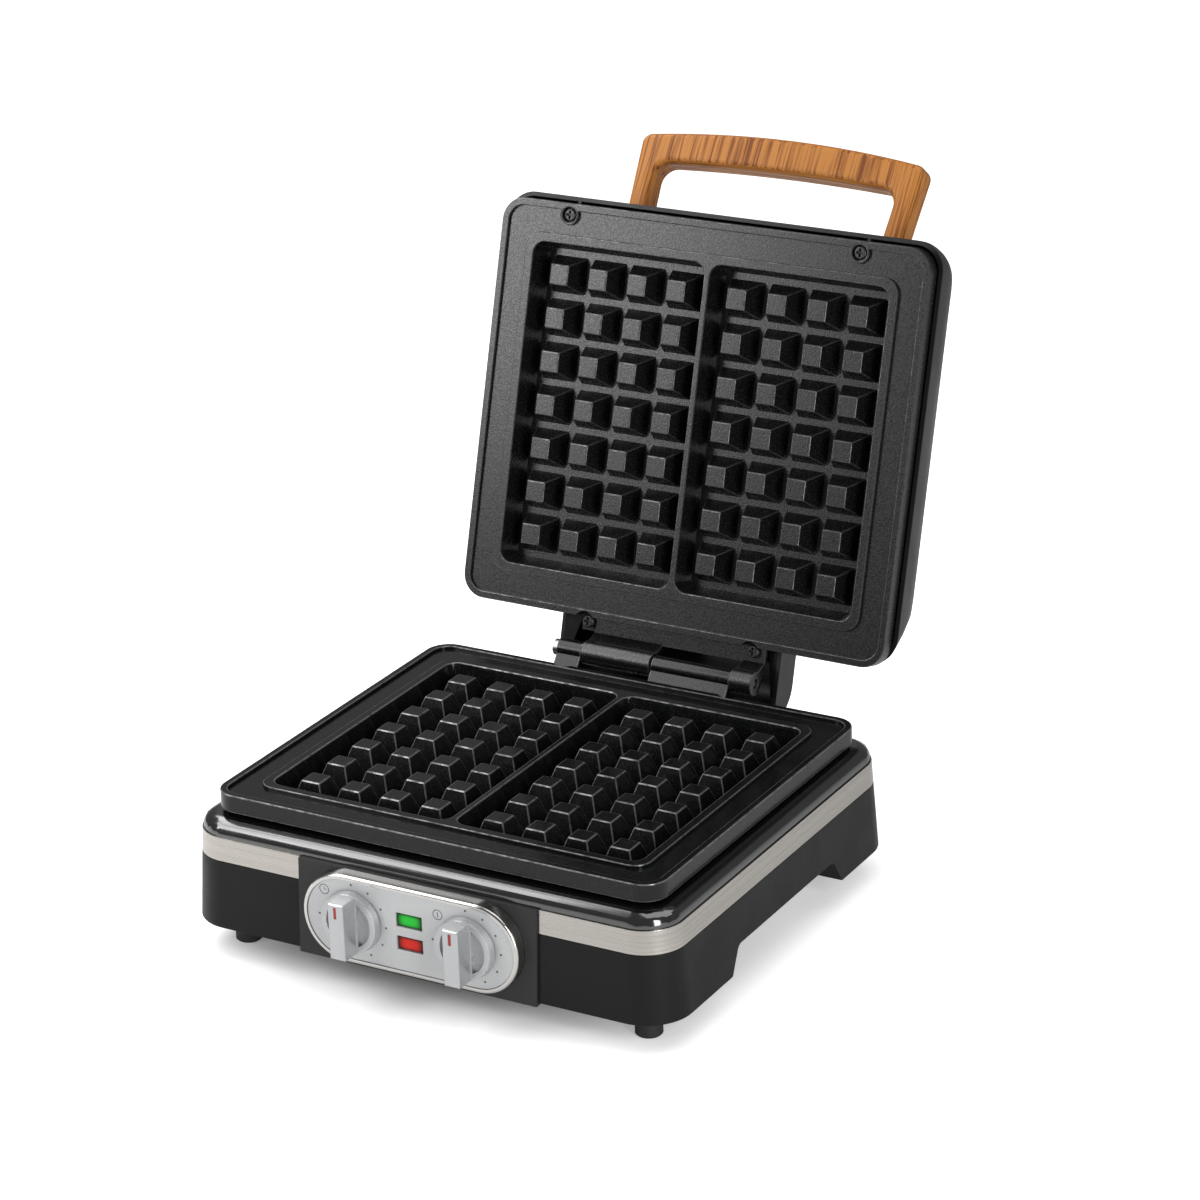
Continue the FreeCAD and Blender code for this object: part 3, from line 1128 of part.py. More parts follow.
def heater(label):
    """Tubular element bent to a rectangle, open at the front, against the underside of a plate."""
    body = new_body(label)
    level = f"(-{BASIN_DROP} - heater_radius)"
    front, back = f"(-{HINGE_Y} - heater_half_length)", f"(-{HINGE_Y} + heater_half_length)"
    path = new_sketch(body, "XY_Plane", level)
    w, r, t = number("heater_half_width"), number("heater_bend"), number("heater_terminal")
    y0, y1 = number(front), number(back)
    path.addGeometry(Part.LineSegment(Vector(t, y0, 0), Vector(w - r, y0, 0)), False)
    path.addGeometry(arc(Vector(w - r, y0 + r, 0), r, 3, 4), False)
    path.addGeometry(Part.LineSegment(Vector(w, y0 + r, 0), Vector(w, y1 - r, 0)), False)
    path.addGeometry(arc(Vector(w - r, y1 - r, 0), r, 0, 1), False)
    path.addGeometry(Part.LineSegment(Vector(w - r, y1, 0), Vector(-w + r, y1, 0)), False)
    path.addGeometry(arc(Vector(-w + r, y1 - r, 0), r, 1, 2), False)
    path.addGeometry(Part.LineSegment(Vector(-w, y1 - r, 0), Vector(-w, y0 + r, 0)), False)
    path.addGeometry(arc(Vector(-w + r, y0 + r, 0), r, 2, 3), False)
    path.addGeometry(Part.LineSegment(Vector(-w + r, y0, 0), Vector(-t, y0, 0)), False)
    join_smoothly(path, 0, 9)
    for index, side, y in ((1, "", f"{front} + heater_bend"), (3, "", f"{back} - heater_bend"),
                           (5, "-", f"{back} - heater_bend"), (7, "-", f"{front} + heater_bend")):
        place_point(path, index, 3, f"{side}(heater_half_width - heater_bend)", y)
        hold_radius(path, index, "heater_bend")
    for index, end, side in ((0, 1, ""), (8, 2, "-")):
        path.addConstraint(Sketcher.Constraint("Horizontal", index))
        hold_distance(path, "DistanceX", index, end, f"{side}heater_terminal")
    profile = new_sketch(body, "YZ_Plane", "heater_terminal")
    circle(profile, front, level, "heater_radius")
    pipe(body, profile, path)
    return body


def reflector(label, capillary_hole):
    """Shallow steel tray behind a heating element, its edge against the plate."""
    body = new_body(label)
    middle = f"(-{HINGE_Y})"
    outline = new_sketch(body, "XY_Plane", f"-{BASIN_DROP}")
    centred_rectangle(outline, TRAY_X, TRAY_Y, middle, "tray_corner")
    pad(body, outline, "tray_depth", backwards=True)
    hollow = new_sketch(body, "XY_Plane", f"-{BASIN_DROP}")
    centred_rectangle(hollow, f"({TRAY_X} - tray_wall)", f"({TRAY_Y} - tray_wall)", middle,
                      "(tray_corner - tray_wall)")
    pocket(body, hollow, "tray_depth - tray_wall")
    if capillary_hole:
        hole = new_sketch(body, "XZ_Plane", f"{HINGE_Y}")
        circle(hole, "knob_x", f"-{BASIN_DROP} - bulb_radius", "capillary_radius + capillary_room")
        pocket(body, hole, forwards=True)
    return body


def thermal_fuse():
    """Sleeved thermal fuse held against the lower plate."""
    made = doc.addObject("Part::Box", "thermal_fuse")
    made.Label = "thermal_fuse"
    made.setExpression("Length", bound("fuse_length"))
    made.setExpression("Width", bound("fuse_width"))
    made.setExpression("Height", bound("fuse_width"))
    return put(made, "-fuse_length / 2", "fuse_y", f"{BASIN_BOTTOM} - fuse_width")


def terminal_block():
    """Terminal block that stands on the bottom cover."""
    made = doc.addObject("Part::Box", "terminal_block")
    made.Label = "terminal_block"
    made.setExpression("Length", bound("terminal_length"))
    made.setExpression("Width", bound("terminal_width"))
    made.setExpression("Height", bound("terminal_height"))
    return put(made, "-terminal_length / 2", "terminal_y", COVER_TOP)


def hinge_housing():
    """Rear housing under the hinge, with the cable's way out."""
    body = new_body("hinge_housing")
    side = new_sketch(body, "YZ_Plane")
    inside, outside = f"{BASE_Y} - shell_wall", f"{BASE_Y} + housing_back"
    top = "(band_top - housing_step)"
    polygon(side, ((inside, "shell_bottom"), (outside, "shell_bottom"), (outside, f"{top} - housing_slope"),
                   (f"{outside} - housing_slope", top), (BASE_Y, top), (BASE_Y, "band_top"),
                   (inside, "band_top")))
    pad(body, side, "2 * housing_half_width", both_ways=True)
    bore = new_sketch(body, "XZ_Plane", f"-({outside})")
    circle(bore, "gland_x", "gland_height", "gland_neck")
    pocket(body, bore, forwards=True)
    return body


def cable_gland():
    """Sleeve in the hinge housing, where the cable leaves."""
    body = new_body("cable_gland")
    outside = f"({BASE_Y} + housing_back)"
    collar = new_sketch(body, "XZ_Plane", f"-{outside}")
    circle(collar, "gland_x", "gland_height", "gland_radius")
    pad(body, collar, "gland_length", backwards=True)
    neck = new_sketch(body, "XZ_Plane", f"-{outside}")
    circle(neck, "gland_x", "gland_height", "gland_neck - press_fit")
    pad(body, neck, "housing_back + shell_wall")
    bore = new_sketch(body, "XZ_Plane", f"-{outside} - gland_length")
    circle(bore, "gland_x", "gland_height", "gland_bore")
    pocket(body, bore, forwards=True)
    return body


def mix(first, second, share):
    """Blend of two tuples of numbers."""
    return tuple(one + (two - one) * share for one, two in zip(first, second))


def lid_shares():
    """Shares of the edge, the wall's top, the roof's edge and the flat roof in each outline of the lid.

    The two ridges are rounded: each is a curve that leaves one face and meets the next one smoothly.
    """
    edge, wall, roof, flat = (1, 0, 0, 0), (0, 1, 0, 0), (0, 0, 1, 0), (0, 0, 0, 1)
    wall_end = mix(edge, wall, number("ridge_below"))
    slope_start = mix(wall, roof, number("ridge_above"))
    slope_end = mix(wall, roof, number("ridge_before"))
    steps = 3
    shares = [edge]
    for start, corner, end in ((wall_end, wall, slope_start), (slope_end, roof, flat)):
        for step in range(steps + 1):
            along = step / steps
            shares.append(mix(mix(start, corner, along), mix(corner, end, along), along))
    return shares


def blend(shares, texts):
    """Expression for a sum of expressions, each with its share."""
    return "(" + " + ".join(f"{share:.6f} * ({text})" for share, text in zip(shares, texts)) + ")"


def lid_outlines(body, inset, levels):
    """Outlines of the lid housing from its edge to its flat roof, moved inwards by an inset."""
    side, front = "lid_wall_lean + lid_slope_side", "lid_wall_lean + lid_slope_front"
    rear = "lid_rear_lean + lid_slope_rear"
    sides = ("0", "lid_wall_lean", side, f"{side} + lid_round")
    fronts = ("0", "lid_wall_lean", front, f"{front} + lid_round")
    rears = ("0", "lid_rear_lean", rear, f"{rear} + lid_round")
    corners = ("lid_corner", "lid_wall_corner", "lid_top_corner", "lid_top_corner - lid_round / 2")
    outlines = []
    for shares in lid_shares():
        outline = new_sketch(body, "XY_Plane", blend(shares, levels))
        half = f"({LID_X} - {blend(shares, sides)} - {inset})"
        front = f"(-{LID_FRONT} + {blend(shares, fronts)} + {inset})"
        rear = f"(-{LID_REAR} - {blend(shares, rears)} - {inset})"
        rounded_rectangle(outline, f"(-{half})", half, front, rear, f"({blend(shares, corners)} - {inset})")
        outlines.append(outline)
    return outlines


def lid_hood(body):
    """Hood over the hinge: a rounded back between two cheeks, open towards the knuckles."""
    foot = f"(-{LID_REAR} - lid_wall)"
    outside = new_sketch(body, "YZ_Plane", "-hood_left")
    polygon(outside, ((foot, "hood_edge"), ("hood_reach", "hood_edge"), ("hood_reach", "hood_rise"),
                      (f"{foot} - lid_rear_lean", "hood_rise")))
    pad(body, outside, "hood_left + hood_right")
    back, top = "(hood_reach - lid_wall)", "(hood_rise - lid_wall)"
    inside = new_sketch(body, "YZ_Plane", "lid_wall - hood_left")
    polygon(inside, ((f"-{LID_REAR}", "hood_edge - overlap"), (back, "hood_edge - overlap"), (back, top),
                     (f"lid_wall - {LID_REAR} - lid_rear_lean", top)))
    pocket(body, inside, "hood_left + hood_right - 2 * lid_wall", forwards=True)
    fillet(body, "hood_round - lid_wall", lambda edge: runs_along(edge, back, top))
    fillet(body, "hood_round", lambda edge: runs_along(edge, "hood_reach", "hood_rise"))


def lid_bosses(body):
    """Bosses and ledges in the lid that the plate's screws go into."""
    front_y = f"(-{HINGE_Y} - {PLATE_Y} + front_screw_inset)"
    for sign in ("", "-"):
        x = f"{sign}front_screw_x"
        boss = new_sketch(body, "XY_Plane", "skirt_drop")
        circle(boss, x, front_y, "screw_boss")
        pad(body, boss, "lid_wall_rise - 2 * lid_wall - skirt_drop")
        rib = new_sketch(body, "XY_Plane", LID_EDGE)
        rectangle(rib, f"{x} - lid_wall / 2", f"{x} + lid_wall / 2", f"-{LID_FRONT} + lid_wall / 2", front_y)
        pad(body, rib, f"lid_wall_rise - 2 * lid_wall - {LID_EDGE}")
        ledge = new_sketch(body, "YZ_Plane", f"{sign}rear_screw_x - screw_boss")
        under = "tongue_drop + tongue_thickness"
        end, root = "-rear_screw_setback + screw_boss", f"-{LID_REAR} - lid_wall"
        polygon(ledge, ((end, under), (end, f"{under} + screw_boss"),
                        (f"{root} - lid_rear_lean / 2", "lid_wall_rise"),
                        (f"{root} - lid_rear_lean", "lid_wall_rise"), (root, under)))
        pad(body, ledge, "2 * screw_boss")
    holes = new_sketch(body, "XY_Plane", "0")
    for sign in ("", "-"):
        circle(holes, f"{sign}front_screw_x", front_y, "screw_shank")
        circle(holes, f"{sign}rear_screw_x", "-rear_screw_setback", "screw_shank")
    pocket(body, holes, "lid_wall_rise - lid_wall", forwards=True)


def lid_sockets(body):
    """Bored arms through the lid's front slope that the handle's legs are screwed to."""
    half = "(handle_thickness / 2)"
    corners = []
    length = "socket_length"
    for along, across in (("0", f"-{half}"), ("0", half), (length, half), (length, f"-{half}")):
        y = f"{HANDLE_SEAT} + {along} * cos(handle_tilt) + {across} * sin(handle_tilt)"
        z = f"handle_seat_rise - {along} * sin(handle_tilt) + {across} * cos(handle_tilt)"
        corners.append((y, z))
    for sign in ("", "-"):
        side = new_sketch(body, "YZ_Plane", f"{sign}{HANDLE_SCREW_X}")
        polygon(side, corners)
        pad(body, side, "handle_leg + 2 * socket_wall", both_ways=True)
    bores = new_sketch(body, "XZ_Plane", f"-{HANDLE_SEAT}")
    turn = FreeCAD.Rotation(Vector(-1, 0, 0), number("handle_tilt"))
    bores.AttachmentOffset = FreeCAD.Placement(Vector(), turn)
    bores.setExpression("AttachmentOffset.Base.y", bound("handle_seat_rise"))
    bores.setExpression("AttachmentOffset.Rotation.Angle", bound("handle_tilt"))
    for sign in ("", "-"):
        circle(bores, f"{sign}{HANDLE_SCREW_X}", "0", "screw_shank")
    pocket(body, bores, "socket_length + overlap")


def lid_shell():
    """Lid housing: upright wall, sloping roof, hinge hood, screw bosses and handle sockets."""
    body = new_body("lid_shell")
    loft(body, lid_outlines(body, "0", (LID_EDGE, "lid_wall_rise", "lid_top", "lid_top")))
    under = "lid_top - lid_wall"
    inner = (f"{LID_EDGE} - lid_gap", "lid_wall_rise - lid_wall / 2", under, under)
    loft(body, lid_outlines(body, "lid_wall", inner), cut=True)
    lid_hood(body)
    lid_bosses(body)
    lid_sockets(body)
    return put_on_lid(body)


def handle():
    """Bow handle: two legs and a slightly arched crossbar, with rounded edges."""
    body = new_body("handle")
    outline = new_sketch(body, "XY_Plane")
    outer, inner = "handle_half_width", "(handle_half_width - handle_leg)"
    far_outer = "(handle_half_width + handle_flare)"
    far_inner = f"({inner} + handle_flare * (1 - handle_bar / handle_reach))"
    low, high = "-handle_reach", "(handle_bar - handle_reach)"
    left, right = ((f"-{outer}", "0"), (f"-{far_outer}", low)), ((far_outer, low), (outer, "0"))
    inner_right = ((inner, "0"), (far_inner, high))
    inner_left = ((f"-{far_inner}", high), (f"-{inner}", "0"))
    for side in (left, right, inner_right, inner_left):
        start, end = (Vector(number(x), number(y), 0) for x, y in side)
        element = outline.addGeometry(Part.LineSegment(start, end), False)
        place_point(outline, element, 1, *side[0])
        place_point(outline, element, 2, *side[1])
    bows = ((0, 1, far_outer, low, "handle_bow"), (3, 2, far_inner, high, "handle_inner_bow"))
    for first, last, width, level, bow in bows:
        reach, y, sag = number(width), number(level), number(bow)
        bent = Part.Arc(Vector(-reach, y, 0), Vector(0, y - sag, 0), Vector(reach, y, 0))
        element = outline.addGeometry(bent, False)
        outline.addConstraint(Sketcher.Constraint("Coincident", element, 1, first, 2 if first == 0 else 1))
        outline.addConstraint(Sketcher.Constraint("Coincident", element, 2, last, 1 if last == 1 else 2))
        hold_radius(outline, element, f"({width} * {width} + {bow} * {bow}) / (2 * {bow})")
    for first, second in ((1, 2), (3, 0)):
        joined = Part.LineSegment(outline.getPoint(first, 2), outline.getPoint(second, 1))
        element = outline.addGeometry(joined, False)
        outline.addConstraint(Sketcher.Constraint("Coincident", element, 1, first, 2))
        outline.addConstraint(Sketcher.Constraint("Coincident", element, 2, second, 1))
    pad(body, outline, "handle_thickness", both_ways=True)
    corners = (("handle_corner", far_outer, low), ("handle_inner_corner", far_inner, high))
    for radius, width, level in corners:
        x, y = number(width), number(level)

        def corner(edge):
            start, end = ends(edge)
            return abs(start.z - end.z) > NEAR and abs(abs(start.x) - x) + abs(start.y - y) < NEAR

        fillet(body, radius, corner)

    def long_edge(edge):
        start, end = ends(edge)
        return abs(start.z - end.z) < NEAR and min(start.y, end.y) < -NEAR

    fillet(body, "handle_round", long_edge)
    holes = new_sketch(body, "XZ_Plane")
    for sign in ("", "-"):
        circle(holes, f"{sign}{HANDLE_SCREW_X}", "0", "screw_shank")
    pocket(body, holes, "handle_screw_bite + screw_room", forwards=True)
    return put_on_lid(body, "0", HANDLE_SEAT, "handle_seat_rise", "handle_tilt")


def handle_screws():
    """Two screws from inside the lid, along its sockets, into the handle's legs."""
    members = []
    for sign in ("", "-"):
        made = screw("socket_length + handle_screw_bite")
        y = f"{HANDLE_SEAT} + socket_length * cos(handle_tilt)"
        z = "handle_seat_rise - socket_length * sin(handle_tilt)"
        members.append(put_on_lid(made, f"{sign}{HANDLE_SCREW_X}", y, z, "handle_tilt + 90"))
    return group("handle_screws", members)


def main():
    """Build every piece, check it and write it out."""
    made = [lower_plate(), upper_plate(), hinge_pin(), lower_shell(), bottom_cover(), upper_bezel()]
    made += [steel_band("band_right", False), steel_band("band_left", True)]
    for label, side, end in (("foot_front_left", "-", "-"), ("foot_front_right", "", "-"),
                             ("foot_rear_left", "-", ""), ("foot_rear_right", "", "")):
        made.append(foot(label, side, end))
    made += [cover_screws(), lower_plate_screws(), upper_plate_screws()]
    made += [control_panel(), fascia_bezel(), fascia_plate()]
    made += [lamp_lens("ready_lens", "+"), lamp_lens("power_lens", "-"), lamp_holder()]
    made += [lamp("ready_lamp", "+"), lamp("power_lamp", "-"), control_bracket()]
    made += [timer_body(), thermostat_body()]
    made += [thermostat_bulb(), knob("timer_knob", "-"), knob("thermostat_knob", "")]
    made += [pointer_mark("timer_mark", "-"), pointer_mark("thermostat_mark", "")]
    made += [control_shaft("timer_shaft", "-"), control_shaft("thermostat_shaft", "")]
    made += [put_with_lower_plate(heater("lower_heater")), put_with_upper_plate(heater("upper_heater"))]
    made += [put_with_lower_plate(reflector("lower_reflector", True))]
    made += [put_with_upper_plate(reflector("upper_reflector", False))]
    made += [thermal_fuse(), terminal_block(), hinge_housing(), cable_gland(), lid_shell(), handle()]
    made += [handle_screws()]
    doc.recompute()
    for item in doc.Objects:
        if "Invalid" in item.State or "Error" in item.State:
            raise RuntimeError(f"{item.Label} failed: {item.State}")
    os.makedirs("parts", exist_ok=True)
    for item in made:
        if item.Shape.isNull() or not item.Shape.isValid():
            raise RuntimeError(f"{item.Label} has no valid shape")
        item.Shape.exportStep(f"parts/{item.Label}.step")


main()
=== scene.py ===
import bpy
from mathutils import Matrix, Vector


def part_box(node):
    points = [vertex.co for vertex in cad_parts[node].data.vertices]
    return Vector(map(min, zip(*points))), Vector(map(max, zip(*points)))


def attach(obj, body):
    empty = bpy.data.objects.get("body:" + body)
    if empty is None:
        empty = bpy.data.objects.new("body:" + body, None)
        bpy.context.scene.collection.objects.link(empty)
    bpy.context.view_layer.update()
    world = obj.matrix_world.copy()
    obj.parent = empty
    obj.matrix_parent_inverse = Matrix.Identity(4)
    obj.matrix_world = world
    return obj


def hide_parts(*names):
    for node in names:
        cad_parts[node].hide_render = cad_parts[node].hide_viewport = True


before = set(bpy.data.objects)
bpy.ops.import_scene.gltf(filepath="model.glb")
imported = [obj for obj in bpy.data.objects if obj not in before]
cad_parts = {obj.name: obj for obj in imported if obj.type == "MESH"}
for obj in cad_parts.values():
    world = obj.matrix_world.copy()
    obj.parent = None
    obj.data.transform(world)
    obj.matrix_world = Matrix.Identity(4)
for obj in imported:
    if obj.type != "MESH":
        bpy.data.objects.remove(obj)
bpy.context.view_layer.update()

import math

import bpy
import numpy as np
from mathutils import Quaternion, Vector

bl_info = {
    "name": "Waffle maker",
    "version": (1, 0, 0),
    "blender": (4, 5, 0),
    "location": "3D View > Sidebar > Waffle maker",
    "description": "Finishes, dial prints, plate screws, studio and camera of a hinged waffle maker",
    "category": "Object",
}

GRID_FORWARD = 0.074  # the block grid's middle lies this far before the origin
UP = np.array([0.0, 0.0, 1.0])
LID_OUT = np.array([0.0, -0.9583, 0.2857])  # the upper plate's face looks this way
HANDLE_TILT = math.radians(54.4)  # the handle's legs above the table's plane
SHARP = math.radians(35)  # edges that turn by more are shaded sharp, and rounded where they point outward
FLAT = math.radians(0.4)  # triangles that differ by less make up one flat face
WELD_REACH = 2e-6  # corners of a solid's triangles that are closer are one
SEAM_REACH = 1e-7  # the same for the points of a made surface
DOT_POINTS = 28  # round a printed dot
RING_POINTS = 40  # round a printed ring
PRINT_SINK = 1e-6  # the print starts this deep in the fascia
ROW_SPREAD = 0.05  # screws that lie further apart along a plate stand in two rows
SCREW_POINTS = 120  # round a screw
HEAD_RIM = 0.3  # rounded rim of a screw's head, by its radius
HEAD_SIDE = 0.45  # upright side of the head, by its height
CROSS_HALF = 0.17  # half the width of the cross's arms, by the head's radius
CROSS_WALL = 0.06  # slope beside an arm
CROSS_REACH = 0.62  # from the middle to an arm's end
CROSS_END = 0.12  # slope at an arm's end
CROSS_DEPTH = 0.7  # depth of the cross, by the head's height
FLOOR_HALF = 6.0
FLOOR_POINTS = 9  # along each side of the floor
FLOOR_DROP = 0.0002  # from the feet down to the floor
BLACK = (0.0, 0.0, 0.0, 1.0)
WHITE = (1.0, 1.0, 1.0, 1.0)


# Finishes


class Wire:
    """An output socket. Arithmetic on it adds Math nodes."""

    def __init__(self, wiring, socket):
        self.wiring = wiring
        self.socket = socket

    def math(self, operation, *values):
        return self.wiring.add("Math", {"operation": operation}, dict(enumerate(values)))

    def __add__(self, other):
        return self.math("ADD", self, other)

    def __radd__(self, other):
        return self.math("ADD", other, self)

    def __sub__(self, other):
        return self.math("SUBTRACT", self, other)

    def __rsub__(self, other):
        return self.math("SUBTRACT", other, self)

    def __mul__(self, other):
        return self.math("MULTIPLY", self, other)

    def __rmul__(self, other):
        return self.math("MULTIPLY", other, self)

    def spread(self, low, high, to_low=0.0, to_high=1.0):
        """The value's span from low to high, carried over to another span and held inside it."""
        sockets = {"Value": self, "From Min": low, "From Max": high, "To Min": to_low, "To Max": to_high}
        return self.wiring.add("MapRange", {"interpolation_type": "SMOOTHSTEP"}, sockets)


class Wiring:
    """A node tree that is filled node by node."""

    def __init__(self, tree):
        self.tree = tree

    def add(self, kind, settings=None, sockets=None, output=0):
        """One node of a kind: its settings first, then the values or wires of its sockets."""
        node = self.tree.nodes.new("ShaderNode" + kind)
        for name, value in (settings or {}).items():
            setattr(node, name, value)
        for key, value in (sockets or {}).items():
            self.feed(node.inputs[key], value)
        return Wire(self, node.outputs[output])

    def feed(self, socket, value):
        if isinstance(value, Wire):
            self.tree.links.new(value.socket, socket)
        else:
            socket.default_value = value

    def vector(self, operation, *values, output=0):
        """One step of vector arithmetic."""
        return self.add("VectorMath", {"operation": operation}, dict(enumerate(values)), output)

    def backdrop_share(self, reflected):
        """One for rays from the camera or through clear pieces, less for reflected ones, none for light."""
        direct = self.add("LightPath", output="Is Camera Ray")
        through = self.add("LightPath", output="Is Transmission Ray")
        return direct + through + self.add("LightPath", output="Is Glossy Ray") * reflected


class Finish(Wiring):
    """A material round one surface shader."""

    def __init__(self, name):
        self.material = bpy.data.materials.new(name)
        self.material.use_nodes = True
        super().__init__(self.material.node_tree)
        self.shader = self.tree.nodes["Principled BSDF"]

    def place(self, stretch=(1, 1, 1), turn=(0, 0, 0), shift=(0, 0, 0)):
        """Object coordinates, turned and shifted, then stretched along the turned axes."""
        where = self.add("TexCoord", output="Object")
        turned = self.add("Mapping", {}, {"Vector": where, "Rotation": turn, "Location": shift})
        return self.vector("MULTIPLY", turned, stretch)

    def noise(self, where, scale, detail=2.0, rough=0.5, warp=0.0):
        """Cloudy value of about 0 to 1."""
        shape = {"Scale": scale, "Detail": detail, "Roughness": rough, "Distortion": warp}
        return self.add("TexNoise", {}, {"Vector": where, **shape})

    def cells(self, where, scale, output="Distance"):
        """Distance to, or colour of, the nearest of many scattered points."""
        return self.add("TexVoronoi", {}, {"Vector": where, "Scale": scale}, output)

    def mix(self, share, first, second):
        """Colour between two colours."""
        return self.add("Mix", {"data_type": "RGBA"}, {0: share, 6: first, 7: second}, 2)

    def bump(self, height, strength, distance):
        """Normal of a surface that a height raises by up to a distance."""
        return self.add("Bump", {}, {"Height": height, "Strength": strength, "Distance": distance})

    def surface(self, **sockets):
        """Set the surface shader's sockets, named in small letters with low lines."""
        for name, value in sockets.items():
            self.feed(self.shader.inputs[name.replace("_", " ").title().replace("Ior", "IOR")], value)
        return self.material


def paint(colour, gain=1.0):
    """A colour property as a socket takes it, made lighter or darker."""
    return (*(min(1.0, channel * gain) for channel in colour), 1.0)


def coating(name, colours, rough, peel, ior):
    """Black non-stick coat: fine metallic flecks of two sizes in a nearly black body, with a faint peel."""
    finish = Finish(name)
    where = finish.place()
    grain = finish.noise(where, 950, rough=0.6).spread(0.5, 0.72)
    glint = finish.cells(where, 480).spread(0.2, 0.08)
    share = grain * 0.22 + glint * 0.4
    cloud = finish.noise(where, 14, detail=3)
    body = finish.mix(cloud, paint(colours.coating, 0.8), paint(colours.coating, 1.25))
    base = finish.mix(share, body, paint(colours.fleck))
    gloss = finish.noise(where, 900).spread(0.3, 0.7, rough - 0.05, rough + 0.05)
    normal = finish.bump(finish.noise(where, 1000) + grain * 0.5, strength=peel, distance=0.0002)
    return finish.surface(base_color=base, roughness=gloss, metallic=share * 0.8, normal=normal, ior=ior)


def painted_edge_highlight(name, colours, shade):
    """Painted highlight on rounded edges: lighter, partly metallic grey patches over the coat's colour."""
    finish = Finish(name)
    highlight_patches = finish.noise(finish.place(), 260, detail=3, rough=0.6).spread(0.3, 0.65)
    # painted highlight: the edge colour runs from four times the coat's colour up to a given grey
    base = finish.mix(highlight_patches, paint(colours.coating, 4), (shade, shade, shade, 1))
    return finish.surface(base_color=base, roughness=highlight_patches.spread(0, 1, 0.4, 0.28), metallic=highlight_patches * 0.8)


def moulding(name, colour, rough, grain, shine=0.5):
    """Moulded plastic with a fine spark-eroded grain and slight shade and gloss changes."""
    finish = Finish(name)
    where = finish.place()
    base = finish.mix(finish.noise(where, 9, detail=4), paint(colour, 0.85), paint(colour, 1.15))
    gloss = finish.noise(where, 30, detail=4, rough=0.6).spread(0.3, 0.7, rough - 0.04, rough + 0.05)
    normal = finish.bump(finish.cells(where, 2600), strength=grain, distance=0.0001)
    return finish.surface(base_color=base, roughness=gloss, normal=normal, specular_ior_level=shine)


def gloss_black(colours):
    """High-gloss black plastic with a trace of flow marks and dust-fine haze."""
    finish = Finish("gloss_black")
    where = finish.place()
    base = finish.mix(finish.noise(where, 12), paint(colours.gloss, 0.8), paint(colours.gloss, 1.2))
    rough = finish.noise(where, 60, detail=5, rough=0.7).spread(0.4, 0.75, 0.11, 0.16)
    normal = finish.bump(finish.noise(where, 25), strength=0.02, distance=0.001)
    return finish.surface(base_color=base, roughness=rough, normal=normal, ior=2.0)


def brushed_steel(colours):
    """Stainless strip: long fine streaks round the housing, in shade, gloss and height."""
    finish = Finish("brushed_band")
    fine = finish.noise(finish.place((9, 9, 5200)), 1, detail=3, rough=0.6)
    broad = finish.noise(finish.place((4, 4, 900)), 1)
    streak = fine * 0.65 + broad * 0.35
    base = finish.mix(streak.spread(0.3, 0.7), paint(colours.steel, 0.84), paint(colours.steel, 1.12))
    rough = streak.spread(0.3, 0.7, 0.2, 0.34)
    normal = finish.bump(fine, strength=0.08, distance=0.0001)
    return finish.surface(base_color=base, roughness=rough, metallic=1.0, normal=normal)


def bright_ring(colours):
    """Polished plating with faint waviness and hairline wear."""
    finish = Finish("polished_ring")
    where = finish.place()
    hair = finish.noise(finish.place((60, 60, 900)), 3, detail=4, rough=0.7)
    cloud = finish.noise(where, 40)
    base = finish.mix(cloud, paint(colours.plating, 0.92), paint(colours.plating, 1.04))
    rough = hair.spread(0.4, 0.75, 0.17, 0.26)
    normal = finish.bump(finish.noise(where, 55), strength=0.03, distance=0.001)
    return finish.surface(base_color=base, roughness=rough, metallic=1.0, normal=normal)


def silver_paint(name, colour, rough, metal):
    """Fine metallic paint: flakes that vary in shade, under a satin coat."""
    finish = Finish(name)
    where = finish.place()
    grey = finish.add("RGBToBW", {}, {0: finish.cells(where, 5200, "Color")})
    base = finish.mix(grey, paint(colour, 0.9), paint(colour, 1.08))
    gloss = finish.noise(where, 24, detail=3).spread(0.3, 0.7, rough - 0.03, rough + 0.05)
    normal = finish.bump(grey, strength=0.03, distance=0.0001)
    return finish.surface(base_color=base, roughness=gloss, metallic=metal, normal=normal)


def enamel(name, colour, rough):
    """Thin paint or print: a plain colour whose cover and gloss vary a little."""
    finish = Finish(name)
    where = finish.place()
    base = finish.mix(finish.noise(where, 700, detail=3), paint(colour, 0.8), paint(colour, 1.2))
    gloss = finish.noise(where, 300, detail=3).spread(0.3, 0.7, rough - 0.05, rough + 0.06)
    return finish.surface(base_color=base, roughness=gloss)


def lit_lens(name, colour, low, high):
    """Coloured lens lit from behind: bright in the middle, dark at the border, with fine upright prisms."""
    finish = Finish(name)
    middle, half = (low + high) / 2, (high - low) / 2
    near = finish.place((1 / half.x, 0, 1 / half.z), shift=(-middle.x, 0, -middle.z))
    reach = finish.vector("LENGTH", finish.vector("MULTIPLY", near, near), output="Value")
    glow = reach.spread(1.0, 0.05)
    prism = finish.add("TexWave", {"bands_direction": "X"}, {"Vector": finish.place(), "Scale": 240.0})
    base = finish.mix(glow, paint(colour, 0.05), paint(colour, 0.55))
    shine = finish.mix(glow, paint(colour, 0.02), paint(colour))
    normal = finish.bump(prism, strength=0.1, distance=0.0002)
    return finish.surface(base_color=base, roughness=0.16, emission_color=shine, emission_strength=0.2,
                          specular_ior_level=0.2, normal=normal)


def clear_glass():
    """Thin glass of a small lamp, with faint drawing lines."""
    finish = Finish("lamp_glass")
    lines = finish.noise(finish.place((200, 30, 200)), 4)
    base = finish.mix(lines, (0.8, 0.82, 0.78, 1), (0.95, 0.95, 0.9, 1))
    return finish.surface(base_color=base, roughness=0.06, transmission_weight=0.8)


